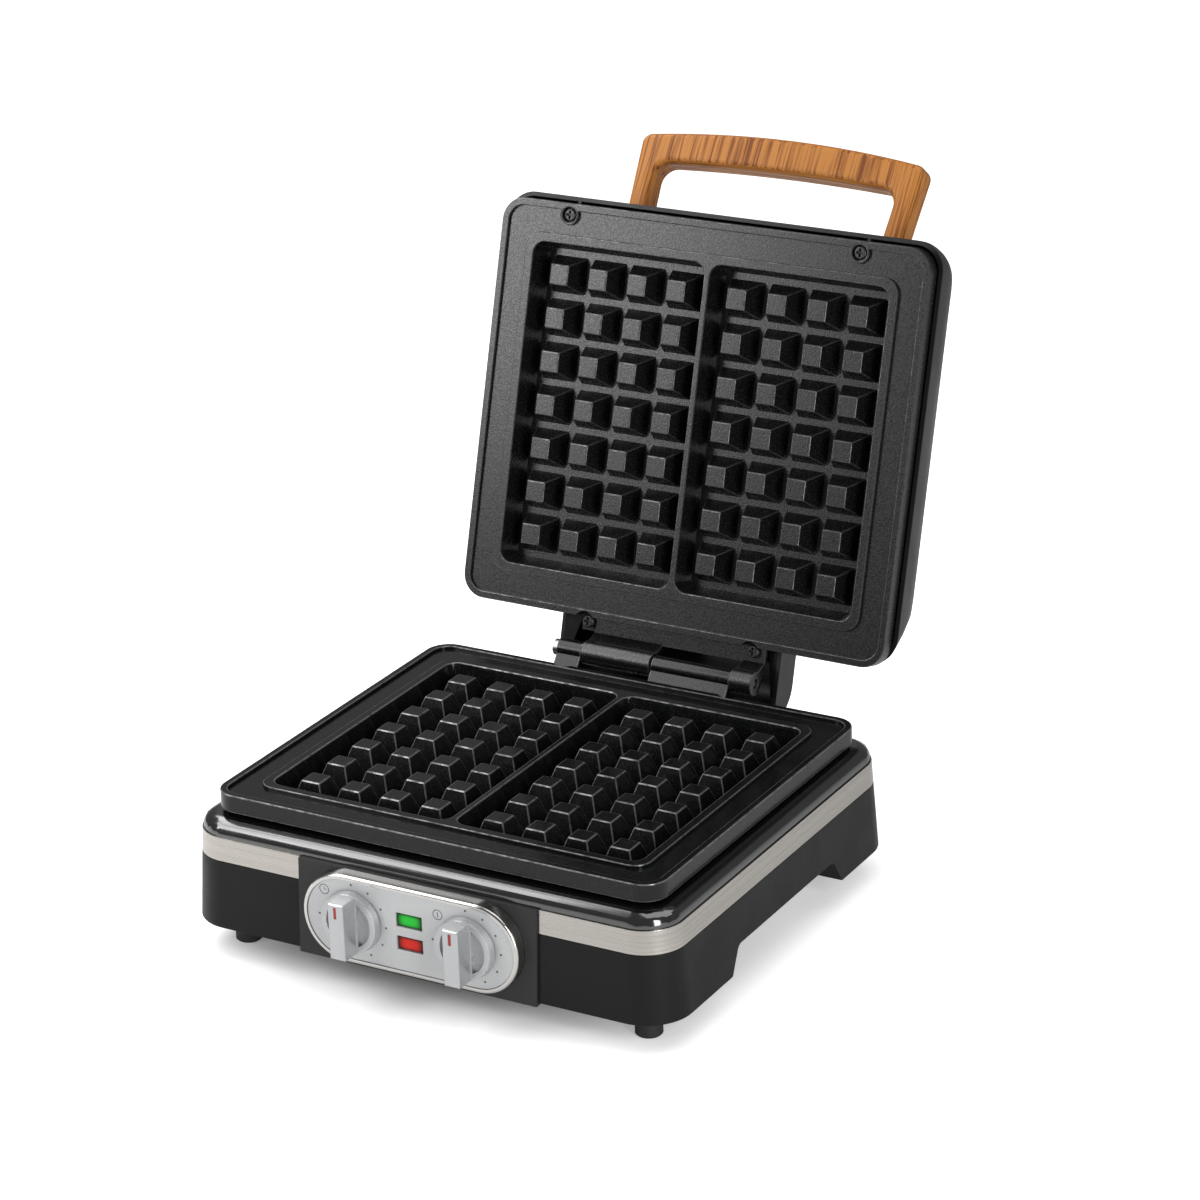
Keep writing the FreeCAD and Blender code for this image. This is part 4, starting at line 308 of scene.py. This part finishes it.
def bare_metal(name, colour, rough, metal=1.0):
    """Plain worked metal with drawing lines, stains and small scratches."""
    finish = Finish(name)
    stain = finish.noise(finish.place(), 45, detail=5, rough=0.65)
    lines = finish.noise(finish.place((30, 30, 1400)), 2, detail=3)
    base = finish.mix(stain, paint(colour, 0.75), paint(colour, 1.15))
    gloss = (stain * 0.5 + lines * 0.5).spread(0.3, 0.7, rough - 0.06, rough + 0.1)
    normal = finish.bump(lines, strength=0.05, distance=0.0002)
    return finish.surface(base_color=base, roughness=gloss, metallic=metal, normal=normal)


def rubber(name, colour):
    """Matt rubber with a soft bloom and a fine mould grain."""
    finish = Finish(name)
    where = finish.place()
    bloom = finish.noise(where, 130, detail=4, rough=0.6)
    base = finish.mix(bloom, paint(colour, 0.8), paint(colour, 1.5))
    normal = finish.bump(finish.noise(where, 2400), strength=0.15, distance=0.0001)
    return finish.surface(base_color=base, roughness=bloom.spread(0.2, 0.8, 0.6, 0.8), normal=normal)


def woven_sleeve(colours):
    """Glass-fibre sleeve: two crossing sets of fine ribs."""
    finish = Finish("woven_sleeve")
    ribs = {"Vector": finish.place(), "Scale": 420.0}
    across = finish.add("TexWave", {"bands_direction": "DIAGONAL"}, ribs)
    along = finish.add("TexWave", {"bands_direction": "X"}, ribs)
    weave = across * along
    base = finish.mix(weave, paint(colours.sleeve, 0.8), paint(colours.sleeve))
    normal = finish.bump(weave, strength=0.4, distance=0.0003)
    return finish.surface(base_color=base, roughness=0.8, normal=normal)


def wood(colours):
    """Oiled veneer: soft growth bands, narrow dark lines and fibres. They run along the handle's legs, and
    along its bar on the faces that look the legs' way."""
    finish = Finish("oiled_wood")
    turn = (-HANDLE_TILT, 0, 0)
    legs = (0, math.cos(HANDLE_TILT), math.sin(HANDLE_TILT))
    facing = finish.vector("DOT_PRODUCT", finish.add("TexCoord", output="Normal"), legs, output="Value")
    outer = (facing * facing).spread(0.4, 0.6)

    def grain(across, along, detail, rough, warp=0.0):
        on_legs = finish.place((across, along, across), turn)
        on_bar = finish.place((along, across, across), turn)
        where = finish.add("Mix", {"data_type": "VECTOR"}, {0: outer, 4: on_legs, 5: on_bar}, 1)
        return finish.noise(where, 1, detail, rough, warp)

    slow = grain(across=70, along=7, detail=2, rough=0.5)
    line = grain(across=330, along=8, detail=2, rough=0.55, warp=0.25)
    fine = grain(across=800, along=14, detail=2, rough=0.55)
    fibre = grain(across=1500, along=40, detail=3, rough=0.6)
    veins = line.spread(0.47, 0.6) * 0.48 + fine.spread(0.46, 0.6) * 0.5
    dark = veins + (fibre - 0.5) * 0.4 + (slow - 0.5) * 0.5
    base = finish.mix(dark.spread(0, 1), paint(colours.wood_light), paint(colours.wood_dark))
    rough = fibre.spread(0.3, 0.7, 0.36, 0.5)
    normal = finish.bump(fibre * 0.5 - line, strength=0.1, distance=0.0003)
    return finish.surface(base_color=base, roughness=rough, normal=normal, specular_ior_level=0.2)


# Shapes


def grid_faces(rows, columns, start, closed):
    """Quads between the neighbours of a grid of points, which may close on itself along its columns."""
    row = np.arange(rows - 1)[:, None]
    column = np.arange(columns if closed else columns - 1)[None, :]
    after = (column + 1) % columns
    near, far = row * columns, (row + 1) * columns
    quads = np.broadcast_arrays(near + column, near + after, far + after, far + column)
    return np.stack(quads, axis=-1).reshape(-1, 4) + start


def lay(name, sheets, body, material, closed=True):
    """One mesh of several grids of points, each an array of rows by columns by three, in metres."""
    points, faces, count = [], [], 0
    for sheet in sheets:
        rows, columns = sheet.shape[:2]
        faces.append(grid_faces(rows, columns, count, closed))
        points.append(sheet.reshape(-1, 3))
        count += rows * columns
    mesh = bpy.data.meshes.new(name)
    mesh.from_pydata(np.concatenate(points).tolist(), [], np.concatenate(faces).tolist())
    mesh.polygons.foreach_set("use_smooth", np.ones(len(mesh.polygons), bool))
    mesh.set_sharp_from_angle(angle=SHARP)
    mesh.materials.append(material)
    piece = bpy.data.objects.new(name, mesh)
    bpy.context.scene.collection.objects.link(piece)
    piece.modifiers.new("closed_seams", "WELD").merge_threshold = SEAM_REACH
    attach(piece, body)
    return piece


def print_dot(x, z, radius, face, thickness):
    """Printed dot: rings of points about its middle, from its back over its front edge to the middle."""
    turn = np.linspace(0, 2 * np.pi, DOT_POINTS, endpoint=False)
    reach = np.array([1.0, 1.0, 0.85, 0.0])[:, None] * radius
    level = np.array([0.0, 0.6, 1.0, 1.0])[:, None] * thickness
    level = np.broadcast_to(level, (level.size, turn.size))
    return np.stack([x + reach * np.cos(turn), face - level, z + reach * np.sin(turn)], axis=-1)


def print_line(path, width, face, thickness, closed):
    """Printed line: a low ridge of four corners carried along a path in the plane of the fascia."""
    ahead = np.roll(path, -1, axis=0) - np.roll(path, 1, axis=0)
    if not closed:
        ahead[0] = path[1] - path[0]
        ahead[-1] = path[-1] - path[-2]
    ahead /= np.linalg.norm(ahead, axis=1, keepdims=True)
    aside = np.stack([ahead[:, 1], -ahead[:, 0]], axis=-1)
    across = np.array([-0.5, -0.45, 0.45, 0.5]) * width
    rise = np.array([0.0, 1.0, 1.0, 0.0]) * thickness
    spots = path[:, None] + aside[:, None] * across[None, :, None]
    sheet = np.stack([spots[..., 0], np.broadcast_to(face - rise, spots.shape[:2]), spots[..., 1]], axis=-1)
    return np.concatenate([sheet, sheet[:1]]) if closed else sheet


def ring_path(x, z, radius):
    """Points on a circle about (x, z), clockwise from the top."""
    turn = np.linspace(0, 2 * np.pi, RING_POINTS, endpoint=False)
    return np.stack([x + radius * np.sin(turn), z + radius * np.cos(turn)], axis=-1)


def measured_screws(node, up):
    """For each screw of a solid whose screws point one way: its own points along (side, along, up)."""
    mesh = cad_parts[node].data
    spots = np.empty(len(mesh.vertices) * 3)
    mesh.vertices.foreach_get("co", spots)
    axes = np.stack([(1, 0, 0), np.cross(up, (1, 0, 0)), up])
    local = spots.reshape(-1, 3) @ axes.T
    apart = np.ptp(local[:, 1]) > ROW_SPREAD
    group = 2 * (local[:, 0] > 0) + (apart & (local[:, 1] > local[:, 1].mean()))
    return axes, [local[group == member] for member in np.unique(group)]


def screw_surface(points, axes):
    """Cross-head screw: rings about its axis from the tip up the shank and out under the head, then a
    flattened dome over radius and angle, sunk by a cross whose arms end softly."""
    low, high = points.min(axis=0), points.max(axis=0)
    middle = (low + high) / 2
    reach = np.hypot(*(points - middle)[:, :2].T)
    head = reach.max()
    shank = reach[points[:, 2] < middle[2] - 0.25 * (high - low)[2]].max()
    under = points[reach > 0.97 * head, 2].min()
    tall = high[2] - under
    turn = np.linspace(0, 2 * np.pi, SCREW_POINTS, endpoint=False)[None, :]
    inner = 1 - HEAD_RIM
    rings = np.concatenate([np.linspace(1, inner, 12), np.linspace(inner - 0.01, 0, 46)])[:, None]
    across, along = rings * np.cos(turn), rings * np.sin(turn)
    arm, span = np.minimum(abs(across), abs(along)), np.maximum(abs(across), abs(along))
    recess = np.clip((CROSS_HALF - arm) / CROSS_WALL, 0, 1)
    recess *= np.clip((CROSS_REACH - span) / CROSS_END, 0, 1)
    rim = 1 - np.clip((1 - rings) / HEAD_RIM, 0, 1)
    rise = HEAD_SIDE + (1 - HEAD_SIDE) * np.sqrt(1 - rim ** 2)
    dome = under + tall * (rise - CROSS_DEPTH * recess)
    stem = np.array([(0, low[2]), (shank, low[2]), (shank, under), (head, under)])[:, :, None]
    stem = np.broadcast_to(stem, (*stem.shape[:2], turn.size))
    stem = np.stack([stem[:, 0] * np.cos(turn), stem[:, 0] * np.sin(turn), stem[:, 1]], axis=-1)
    cap = np.stack([head * across, head * along, dome], axis=-1)
    return (np.concatenate([stem, cap]) + (*middle[:2], 0)) @ axes


# Settings


def length_of(name, description, default):
    return bpy.props.FloatProperty(name=name, description=description, default=default, unit="LENGTH",
                                   precision=5)


def colour_of(name, description, default):
    return bpy.props.FloatVectorProperty(name=name, description=description, default=default, size=3,
                                         subtype="COLOR", min=0.0, max=1.0)


def angle_of(name, description, default):
    return bpy.props.FloatProperty(name=name, description=description, default=math.radians(default),
                                   subtype="ANGLE")


def share_of(name, description, default):
    return bpy.props.FloatProperty(name=name, description=description, default=default, min=0.0, max=1.0,
                                   subtype="FACTOR")


class WaffleSizes(bpy.types.PropertyGroup):
    """Small sizes that the looks add to the solids."""

    casting_round: length_of("Casting edges", "Rounding of the cast plates' edges", 0.0006)
    moulding_round: length_of("Moulded edges", "Rounding of the mouldings' edges", 0.0005)
    fine_round: length_of("Fine edges", "Rounding of trim, knobs and small metal pieces", 0.00025)
    lens_round: length_of("Lens edges", "Rounding of the lamp lenses' edges", 0.0008)
    print_thickness: length_of("Print", "Thickness of the print on the fascia", 0.00004)
    line_width: length_of("Print line", "Width of a printed line", 0.0004)
    dot_radius: length_of("Dial dot", "Radius of a dot round a dial", 0.0006)
    dial_radius: length_of("Dial ring", "Distance of the dots from a knob's axis", 0.0195)
    symbol_radius: length_of("Symbol", "Radius of the symbol beside a dial", 0.0026)
    symbol_left: length_of("Symbol aside", "Symbol to the left of a knob's axis", 0.016)
    symbol_rise: length_of("Symbol above", "Symbol above a knob's axis", 0.014)


class WaffleColours(bpy.types.PropertyGroup):
    """Colours of the finishes."""

    coating: colour_of("Coating", "Non-stick coat of the plates", (0.004, 0.0042, 0.0047))
    fleck: colour_of("Fleck", "Flecks in the non-stick coat", (0.055, 0.057, 0.06))
    shell: colour_of("Shell", "Base mouldings", (0.0065, 0.0065, 0.0068))
    lid: colour_of("Lid", "Lid moulding", (0.008, 0.008, 0.0083))
    panel: colour_of("Panel", "Control panel", (0.02, 0.02, 0.0205))
    gloss: colour_of("Gloss", "Gloss frame round the plate", (0.005, 0.005, 0.0055))
    steel: colour_of("Steel", "Brushed band", (0.44, 0.418, 0.385))
    plating: colour_of("Plating", "Ring round the fascia", (0.55, 0.54, 0.525))
    fascia: colour_of("Fascia", "Face of the controls", (0.52, 0.525, 0.53))
    knob: colour_of("Knob", "Knobs", (0.48, 0.488, 0.495))
    mark: colour_of("Mark", "Pointer on a knob", (0.3, 0.02, 0.015))
    print: colour_of("Print", "Dots and symbols", (0.05, 0.05, 0.055))
    green: colour_of("Ready lamp", "Lens of the ready lamp", (0.02, 0.72, 0.05))
    red: colour_of("Power lamp", "Lens of the power lamp", (0.9, 0.025, 0.012))
    wood_light: colour_of("Light wood", "Light grain of the handle", (0.53, 0.215, 0.05))
    wood_dark: colour_of("Dark wood", "Dark grain of the handle", (0.2, 0.058, 0.014))
    rubber: colour_of("Rubber", "Feet and cable gland", (0.016, 0.016, 0.016))
    screw: colour_of("Screw", "Screws", (0.05, 0.05, 0.05))
    sleeve: colour_of("Sleeve", "Sleeve of the thermal fuse", (0.7, 0.68, 0.6))


class WaffleStudio(bpy.types.PropertyGroup):
    """Camera and light."""

    azimuth: angle_of("Azimuth", "Camera to the right of the front", 30.27)
    elevation: angle_of("Elevation", "Camera above the table", 21.77)
    roll: angle_of("Roll", "Turn of the picture", -1.9)
    distance: length_of("Distance", "Camera from its target", 2.0016)
    lens: bpy.props.FloatProperty(name="Lens", description="Focal length in millimetres", default=120.07)
    target: bpy.props.FloatVectorProperty(name="Target", description="Point in the middle of the picture",
                                          default=(0.0389, -GRID_FORWARD, 0.1771), subtype="TRANSLATION")
    floor_colour: colour_of("Floor", "Colour of the floor", (0.88, 0.88, 0.88))
    ambient: share_of("Ambient", "Strength of the light from all round", 0.09)
    reflected: share_of("Reflected backdrop", "How much of the white backdrop shows in reflections", 0.12)
    shadow_spot: bpy.props.FloatVectorProperty(name="Shadow spot", description="Middle of the shadow",
                                               default=(-0.02, -0.13), size=2, subtype="XYZ")
    shadow_reach: length_of("Shadow", "From the shadow's middle to where the floor turns white", 0.175)
    shadow_core: share_of("Shadow core", "Share of that reach which stays dark", 0.2)
    shadow_white: share_of("Shadow white", "White that is left in the shadow's middle", 0.06)
    floor_white: share_of("Floor white", "White of the floor away from the shadow", 0.9)
    contact_inset: length_of("Contact inset", "From the base's outline in to where its shadow fades", 0.02)
    contact_reach: length_of("Contact shadow", "Length over which the base's shadow fades", 0.06)
    contact_white: share_of("Contact white", "White that is left under the base", 0.45)


# Pieces


def settings():
    """The scene's sizes, colours and studio settings."""
    scene = bpy.context.scene
    return scene.waffle_sizes, scene.waffle_colours, scene.waffle_studio


def edge_group(name, turn_name):
    """Geometry nodes with a way in and a way out, and a socket that is true on sharp edges."""
    tree = bpy.data.node_groups.new(name, "GeometryNodeTree")
    for way in ("INPUT", "OUTPUT"):
        tree.interface.new_socket("Geometry", in_out=way, socket_type="NodeSocketGeometry")
    start, end = tree.nodes.new("NodeGroupInput"), tree.nodes.new("NodeGroupOutput")
    turn = tree.nodes.new("GeometryNodeInputMeshEdgeAngle")
    sharp = tree.nodes.new("FunctionNodeCompare")
    sharp.data_type, sharp.operation = "FLOAT", "GREATER_THAN"
    sharp.inputs[1].default_value = SHARP
    tree.links.new(turn.outputs[turn_name], sharp.inputs[0])
    return tree, start.outputs[0], end.inputs[0], sharp.outputs[0]


def outer_edges():
    """Group that marks the outward edges, which are the ones to round."""
    tree, start, end, sharp = edge_group("outer_edges", "Signed Angle")
    store = tree.nodes.new("GeometryNodeStoreNamedAttribute")
    store.data_type, store.domain = "FLOAT", "EDGE"
    store.inputs["Name"].default_value = "bevel_weight_edge"
    for out, into in ((start, "Geometry"), (sharp, "Value")):
        tree.links.new(out, store.inputs[into])
    tree.links.new(store.outputs[0], end)
    return tree


def smooth_faces():
    """Group that shades every face smooth, but for its sharp edges."""
    tree, start, end, sharp = edge_group("smooth_faces", "Unsigned Angle")
    smooth, hard = (tree.nodes.new("GeometryNodeSetShadeSmooth") for _ in range(2))
    smooth.domain, hard.domain = "FACE", "EDGE"
    hard.inputs["Shade Smooth"].default_value = False
    tree.links.new(start, smooth.inputs["Geometry"])
    tree.links.new(smooth.outputs[0], hard.inputs["Geometry"])
    tree.links.new(sharp, hard.inputs["Selection"])
    tree.links.new(hard.outputs[0], end)
    return tree


def group_modifier(piece, name, maker):
    """Hang a node group on a piece; the maker is called once."""
    piece.modifiers.new(name, "NODES").node_group = bpy.data.node_groups.get(name) or maker()


def soften(node, width=0.0, segments=2, edge=None):
    """Weld a solid's triangles, round its outward edges by a width and shade it smooth between them. The
    rounded edges may have a finish of their own, which paints a highlight on them."""
    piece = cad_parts[node]
    piece.modifiers.new("weld", "WELD").merge_threshold = WELD_REACH
    if width:
        group_modifier(piece, "outer_edges", outer_edges)
        whole = piece.modifiers.new("whole_flats", "DECIMATE")
        whole.decimate_type, whole.angle_limit = "DISSOLVE", FLAT
        bevel = piece.modifiers.new("edges", "BEVEL")
        bevel.width, bevel.segments, bevel.limit_method = width, segments, "WEIGHT"
        bevel.use_clamp_overlap, bevel.miter_outer = False, "MITER_ARC"
        bevel.face_strength_mode = "FSTR_ALL"
        if edge:
            # the rounded edges get a finish that paints a highlight on them
            bevel.material = len(piece.data.materials)
            piece.data.materials.append(edge)
        piece.modifiers.new("triangles", "TRIANGULATE").min_vertices = 5
    group_modifier(piece, "smooth_faces", smooth_faces)
    flat = piece.modifiers.new("flat_normals", "WEIGHTED_NORMAL")
    flat.keep_sharp, flat.use_face_influence = True, True


def dress(nodes, material, width=0.0, segments=2, edge=None):
    """Give solids a finish and rounded edges."""
    for node in nodes:
        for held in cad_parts[node].material_slots:
            held.material = material
        soften(node, width, segments, edge)


class Piece:
    """What the operators that make pieces share."""

    bl_options = {"REGISTER", "UNDO"}

    def execute(self, context):
        self.make(*settings())
        return {"FINISHED"}


class WAFFLE_OT_plates(Piece, bpy.types.Operator):
    """Coat the two cast waffle plates, round their edges and paint highlights on them"""

    bl_idname = "waffle.plates"
    bl_label = "Waffle plates"

    def make(self, sizes, colours, studio):
        grained = coating("grained_coating", colours, rough=0.28, peel=0.16, ior=1.55)
        # painted highlights on the plates' rounded edges, fainter on the upper plate
        dull = painted_edge_highlight("upper_edge_highlight", colours, shade=0.1)
        dress(("upper_plate",), grained, sizes.casting_round, edge=dull)
        smooth = coating("smooth_coating", colours, rough=0.16, peel=0.05, ior=1.36)
        bright = painted_edge_highlight("lower_edge_highlight", colours, shade=0.2)
        dress(("lower_plate",), smooth, sizes.casting_round, edge=bright)


class WAFFLE_OT_housing(Piece, bpy.types.Operator):
    """Finish the mouldings of base and lid"""

    bl_idname = "waffle.housing"
    bl_label = "Housing"

    def make(self, sizes, colours, studio):
        shell = moulding("satin_shell", colours.shell, rough=0.42, grain=0.1, shine=0.18)
        dress(("lower_shell", "bottom_cover", "hinge_housing"), shell, sizes.moulding_round)
        panel = moulding("matt_panel", colours.panel, rough=0.5, grain=0.12, shine=0.35)
        dress(("control_panel",), panel, sizes.fine_round)
        lid = moulding("satin_lid", colours.lid, rough=0.36, grain=0.06, shine=0.35)
        dress(("lid_shell",), lid, sizes.moulding_round)
        dress(("upper_bezel",), gloss_black(colours))


class WAFFLE_OT_bands(Piece, bpy.types.Operator):
    """Brush the two steel bands"""

    bl_idname = "waffle.bands"
    bl_label = "Steel bands"

    def make(self, sizes, colours, studio):
        dress(("band_left", "band_right"), brushed_steel(colours), sizes.fine_round)


class WAFFLE_OT_controls(Piece, bpy.types.Operator):
    """Finish fascia, ring, knobs and lenses, and print the dials"""

    bl_idname = "waffle.controls"
    bl_label = "Controls"

    def make(self, sizes, colours, studio):
        dress(("fascia_bezel",), bright_ring(colours))
        fascia = silver_paint("silver_fascia", colours.fascia, rough=0.42, metal=0.3)
        dress(("fascia_plate",), fascia, sizes.fine_round)
        knob = silver_paint("silver_knob", colours.knob, rough=0.28, metal=0.6)
        dress(("timer_knob", "thermostat_knob"), knob, sizes.fine_round, segments=3)
        pointer = enamel("pointer_red", colours.mark, rough=0.35)
        dress(("timer_mark", "thermostat_mark"), pointer, sizes.print_thickness)
        for node, shade in (("ready_lens", colours.green), ("power_lens", colours.red)):
            lens = lit_lens(node + "_glow", shade, *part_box(node))
            dress((node,), lens, sizes.lens_round, segments=4)
        self.print_dials(sizes, enamel("dial_print", colours.print, rough=0.5))

    def print_dials(self, sizes, ink):
        """Dots on a ring about each knob and a symbol at its upper left."""
        low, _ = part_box("fascia_plate")
        face, thick = low.y + PRINT_SINK, sizes.print_thickness
        dots = np.radians([0, 30, 60, 90, 120, 150, 270])
        hands = {"timer": [(0, 0.6), (0, 0), (0.5, 0)], "thermostat": [(0, 0.6), (0, 0), (0, -0.6)]}
        for name, hand in hands.items():
            start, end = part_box(name + "_knob")
            axis = np.array([(start.x + end.x) / 2, (start.z + end.z) / 2])
            spots = axis + sizes.dial_radius * np.stack([np.sin(dots), np.cos(dots)], axis=-1)
            sheets = [print_dot(*spot, sizes.dot_radius, face, thick) for spot in spots]
            lay(name + "_dots", sheets, "base", ink)
            middle = axis + (-sizes.symbol_left, sizes.symbol_rise)
            ring = ring_path(*middle, sizes.symbol_radius)
            hand = middle + sizes.symbol_radius * np.array(hand)
            lines = [print_line(ring, sizes.line_width, face, thick, True),
                     print_line(hand, sizes.line_width, face, thick, False)]
            lay(name + "_symbol", lines, "base", ink, closed=False)


class WAFFLE_OT_handle(Piece, bpy.types.Operator):
    """Oil the wooden handle"""

    bl_idname = "waffle.handle"
    bl_label = "Handle"

    def make(self, sizes, colours, studio):
        dress(("handle",), wood(colours))


class WAFFLE_OT_fasteners(Piece, bpy.types.Operator):
    """Finish pin, feet and gland, and make the plates' cross-head screws"""

    bl_idname = "waffle.fasteners"
    bl_label = "Fasteners and feet"

    def make(self, sizes, colours, studio):
        steel = bare_metal("black_screw", colours.screw, rough=0.34, metal=0.7)
        for node, up, body in (("lower_plate_screws", UP, "base"), ("upper_plate_screws", LID_OUT, "lid")):
            axes, screws = measured_screws(node, up)
            sheets = [screw_surface(points, axes) for points in screws]
            made = lay("cross_head_" + node, sheets, body, steel)
            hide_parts(node)
        dress(("cover_screws", "handle_screws"), steel, sizes.fine_round)
        pin = bare_metal("pin_steel", (0.35, 0.35, 0.35), rough=0.3)
        dress(("hinge_pin",), pin, sizes.fine_round)
        feet = [f"foot_{end}_{side}" for end in ("front", "rear") for side in ("left", "right")]
        dress(feet, rubber("foot_rubber", colours.rubber))
        dress(("cable_gland",), rubber("gland_rubber", colours.rubber))


class WAFFLE_OT_inside(Piece, bpy.types.Operator):
    """Finish the heaters, controls and wiring pieces inside"""

    bl_idname = "waffle.inside"
    bl_label = "Inside"

    def make(self, sizes, colours, studio):
        metals = (
            ("heater_sheath", (0.3, 0.28, 0.26), 0.45, ("lower_heater", "upper_heater")),
            ("reflector_sheet", (0.75, 0.75, 0.75), 0.22, ("lower_reflector", "upper_reflector")),
            ("plain_steel", (0.55, 0.55, 0.55), 0.35,
             ("control_bracket", "timer_shaft", "thermostat_shaft")),
            ("copper_tube", (0.72, 0.4, 0.26), 0.3, ("thermostat_bulb",)),
        )
        for name, shade, rough, nodes in metals:
            dress(nodes, bare_metal(name, shade, rough))
        natural = moulding("natural_plastic", (0.72, 0.7, 0.64), rough=0.5, grain=0.08)
        dress(("lamp_holder", "timer_body", "thermostat_body", "terminal_block"), natural, sizes.fine_round)
        dress(("thermal_fuse",), woven_sleeve(colours), sizes.fine_round)
        dress(("ready_lamp", "power_lamp"), clear_glass())


# Studio


class WAFFLE_OT_stage(Piece, bpy.types.Operator):
    """Set up floor, light and camera"""

    bl_idname = "waffle.stage"
    bl_label = "Studio"

    def make(self, sizes, colours, studio):
        self.floor(studio)
        self.world(studio)
        self.lamps()
        self.camera(studio)
        bpy.context.scene.view_settings.view_transform = "Standard"

    def floor(self, studio):
        """Pale floor, a level grid of points just under the feet. To the camera it turns white away from
        the base and from a spot before it, where it keeps the shadow."""
        span = np.linspace(-FLOOR_HALF, FLOOR_HALF, FLOOR_POINTS)
        across, along = np.meshgrid(span, span, indexing="ij")
        sheet = np.stack([across, along, np.full_like(across, -FLOOR_DROP)], axis=-1)
        mesh = bpy.data.meshes.new("floor")
        faces = grid_faces(span.size, span.size, 0, False)
        mesh.from_pydata(sheet.reshape(-1, 3).tolist(), [], faces.tolist())
        finish = Finish("pale_floor")
        spot = finish.place(shift=(-studio.shadow_spot[0], -studio.shadow_spot[1], 0))
        far = finish.vector("LENGTH", spot, output="Value")
        low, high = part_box("lower_shell")
        middle, half = (low + high) / 2, (high - low) / 2
        inner = (half.x - studio.contact_inset, half.y - studio.contact_inset, 0)
        aside = finish.vector("ABSOLUTE", finish.place(shift=(-middle.x, -middle.y, 0)))
        beyond = finish.vector("MAXIMUM", finish.vector("SUBTRACT", aside, inner), (0, 0, 0))
        near = finish.vector("LENGTH", beyond, output="Value")
        core = studio.shadow_core * studio.shadow_reach
        white = far.spread(core, studio.shadow_reach, studio.shadow_white, studio.floor_white)
        white = white * near.spread(0, studio.contact_reach, studio.contact_white, 1)
        glow = finish.mix(white * finish.backdrop_share(studio.reflected), BLACK, WHITE)
        finish.surface(base_color=paint(studio.floor_colour), roughness=0.9, emission_color=glow,
                       emission_strength=1.0)
        mesh.materials.append(finish.material)
        floor = bpy.data.objects.new("floor", mesh)
        bpy.context.scene.collection.objects.link(floor)

    def world(self, studio):
        """White to the camera, dimmer in reflections and as a light."""
        world = bpy.data.worlds.new("white_room")
        world.use_nodes = True
        wiring = Wiring(world.node_tree)
        back = world.node_tree.nodes["Background"]
        back.inputs["Color"].default_value = WHITE
        white = wiring.backdrop_share(studio.reflected) * (1 - studio.ambient)
        wiring.feed(back.inputs["Strength"], studio.ambient + white)
        bpy.context.scene.world = world

    def lamps(self):
        """Soft boxes: where each hangs, which way it looks, how wide and high it is and its power."""
        plan = (
            ("left_low_box", (-0.895, -1.03, 0.63), (0, 0.84, -0.54), (0.55, 0.45), 5.3),
            ("left_box", (-0.665, -0.4, 0.85), (0, 0.3, -0.95), (0.57, 1.0), 8.0),
            ("left_high_box", (-0.665, 0.32, 0.88), (0, -0.6, -0.8), (0.57, 0.5), 4.0),
            ("right_strip", (1.0, -0.7, 0.42), (-1.0, 0.7, -0.3), (0.3, 0.85), 9.0),
            ("back_box", (-0.75, 1.15, 0.75), (0.75, -1.15, -0.63), (1.0, 0.7), 0.2),
            ("top_box", (0.45, 0.3, 1.7), (-0.25, -0.2, -1), (1.4, 1.4), 11.0),
        )
        for name, place, aim, span, power in plan:
            lamp = bpy.data.lights.new(name, "AREA")
            lamp.shape, lamp.size, lamp.size_y, lamp.energy = "RECTANGLE", *span, power
            holder = bpy.data.objects.new(name, lamp)
            holder.location = place
            holder.rotation_euler = Vector(aim).to_track_quat("-Z", "Y").to_euler()
            bpy.context.scene.collection.objects.link(holder)

    def camera(self, studio):
        """Camera at an azimuth, elevation and distance from its target, rolled about its view."""
        level = math.cos(studio.elevation)
        back = Vector((math.sin(studio.azimuth) * level, -math.cos(studio.azimuth) * level,
                       math.sin(studio.elevation)))
        lens = bpy.data.cameras.new("camera")
        lens.lens, lens.sensor_width, lens.sensor_fit = studio.lens, 36.0, "HORIZONTAL"
        lens.clip_start, lens.clip_end = 0.05, 50.0
        eye = bpy.data.objects.new("camera", lens)
        eye.location = Vector(studio.target) + back * studio.distance
        turn = Quaternion(back, studio.roll) @ (-back).to_track_quat("-Z", "Y")
        eye.rotation_euler = turn.to_euler()
        bpy.context.scene.collection.objects.link(eye)
        bpy.context.scene.camera = eye


class VIEW3D_PT_waffle(bpy.types.Panel):
    """Lists the pieces and their settings"""

    bl_label = "Waffle maker"
    bl_space_type = "VIEW_3D"
    bl_region_type = "UI"
    bl_category = "Waffle maker"

    def draw(self, context):
        for operator in OPERATORS:
            self.layout.operator(operator.bl_idname)
        for group in settings():
            box = self.layout.box()
            for name in group.__annotations__:
                box.prop(group, name)


GROUPS = {"waffle_sizes": WaffleSizes, "waffle_colours": WaffleColours, "waffle_studio": WaffleStudio}
OPERATORS = (
    WAFFLE_OT_plates, WAFFLE_OT_housing, WAFFLE_OT_bands, WAFFLE_OT_controls, WAFFLE_OT_handle,
    WAFFLE_OT_fasteners, WAFFLE_OT_inside, WAFFLE_OT_stage,
)


def register():
    for item in (*GROUPS.values(), *OPERATORS, VIEW3D_PT_waffle):
        bpy.utils.register_class(item)
    for name, group in GROUPS.items():
        setattr(bpy.types.Scene, name, bpy.props.PointerProperty(type=group))


def unregister():
    for name in GROUPS:
        delattr(bpy.types.Scene, name)
    for item in reversed((*GROUPS.values(), *OPERATORS, VIEW3D_PT_waffle)):
        bpy.utils.unregister_class(item)


def main():
    """Make every piece."""
    register()
    for operator in OPERATORS:
        module, name = operator.bl_idname.split(".")
        getattr(getattr(bpy.ops, module), name)()


if __name__ == "__main__":
    main()
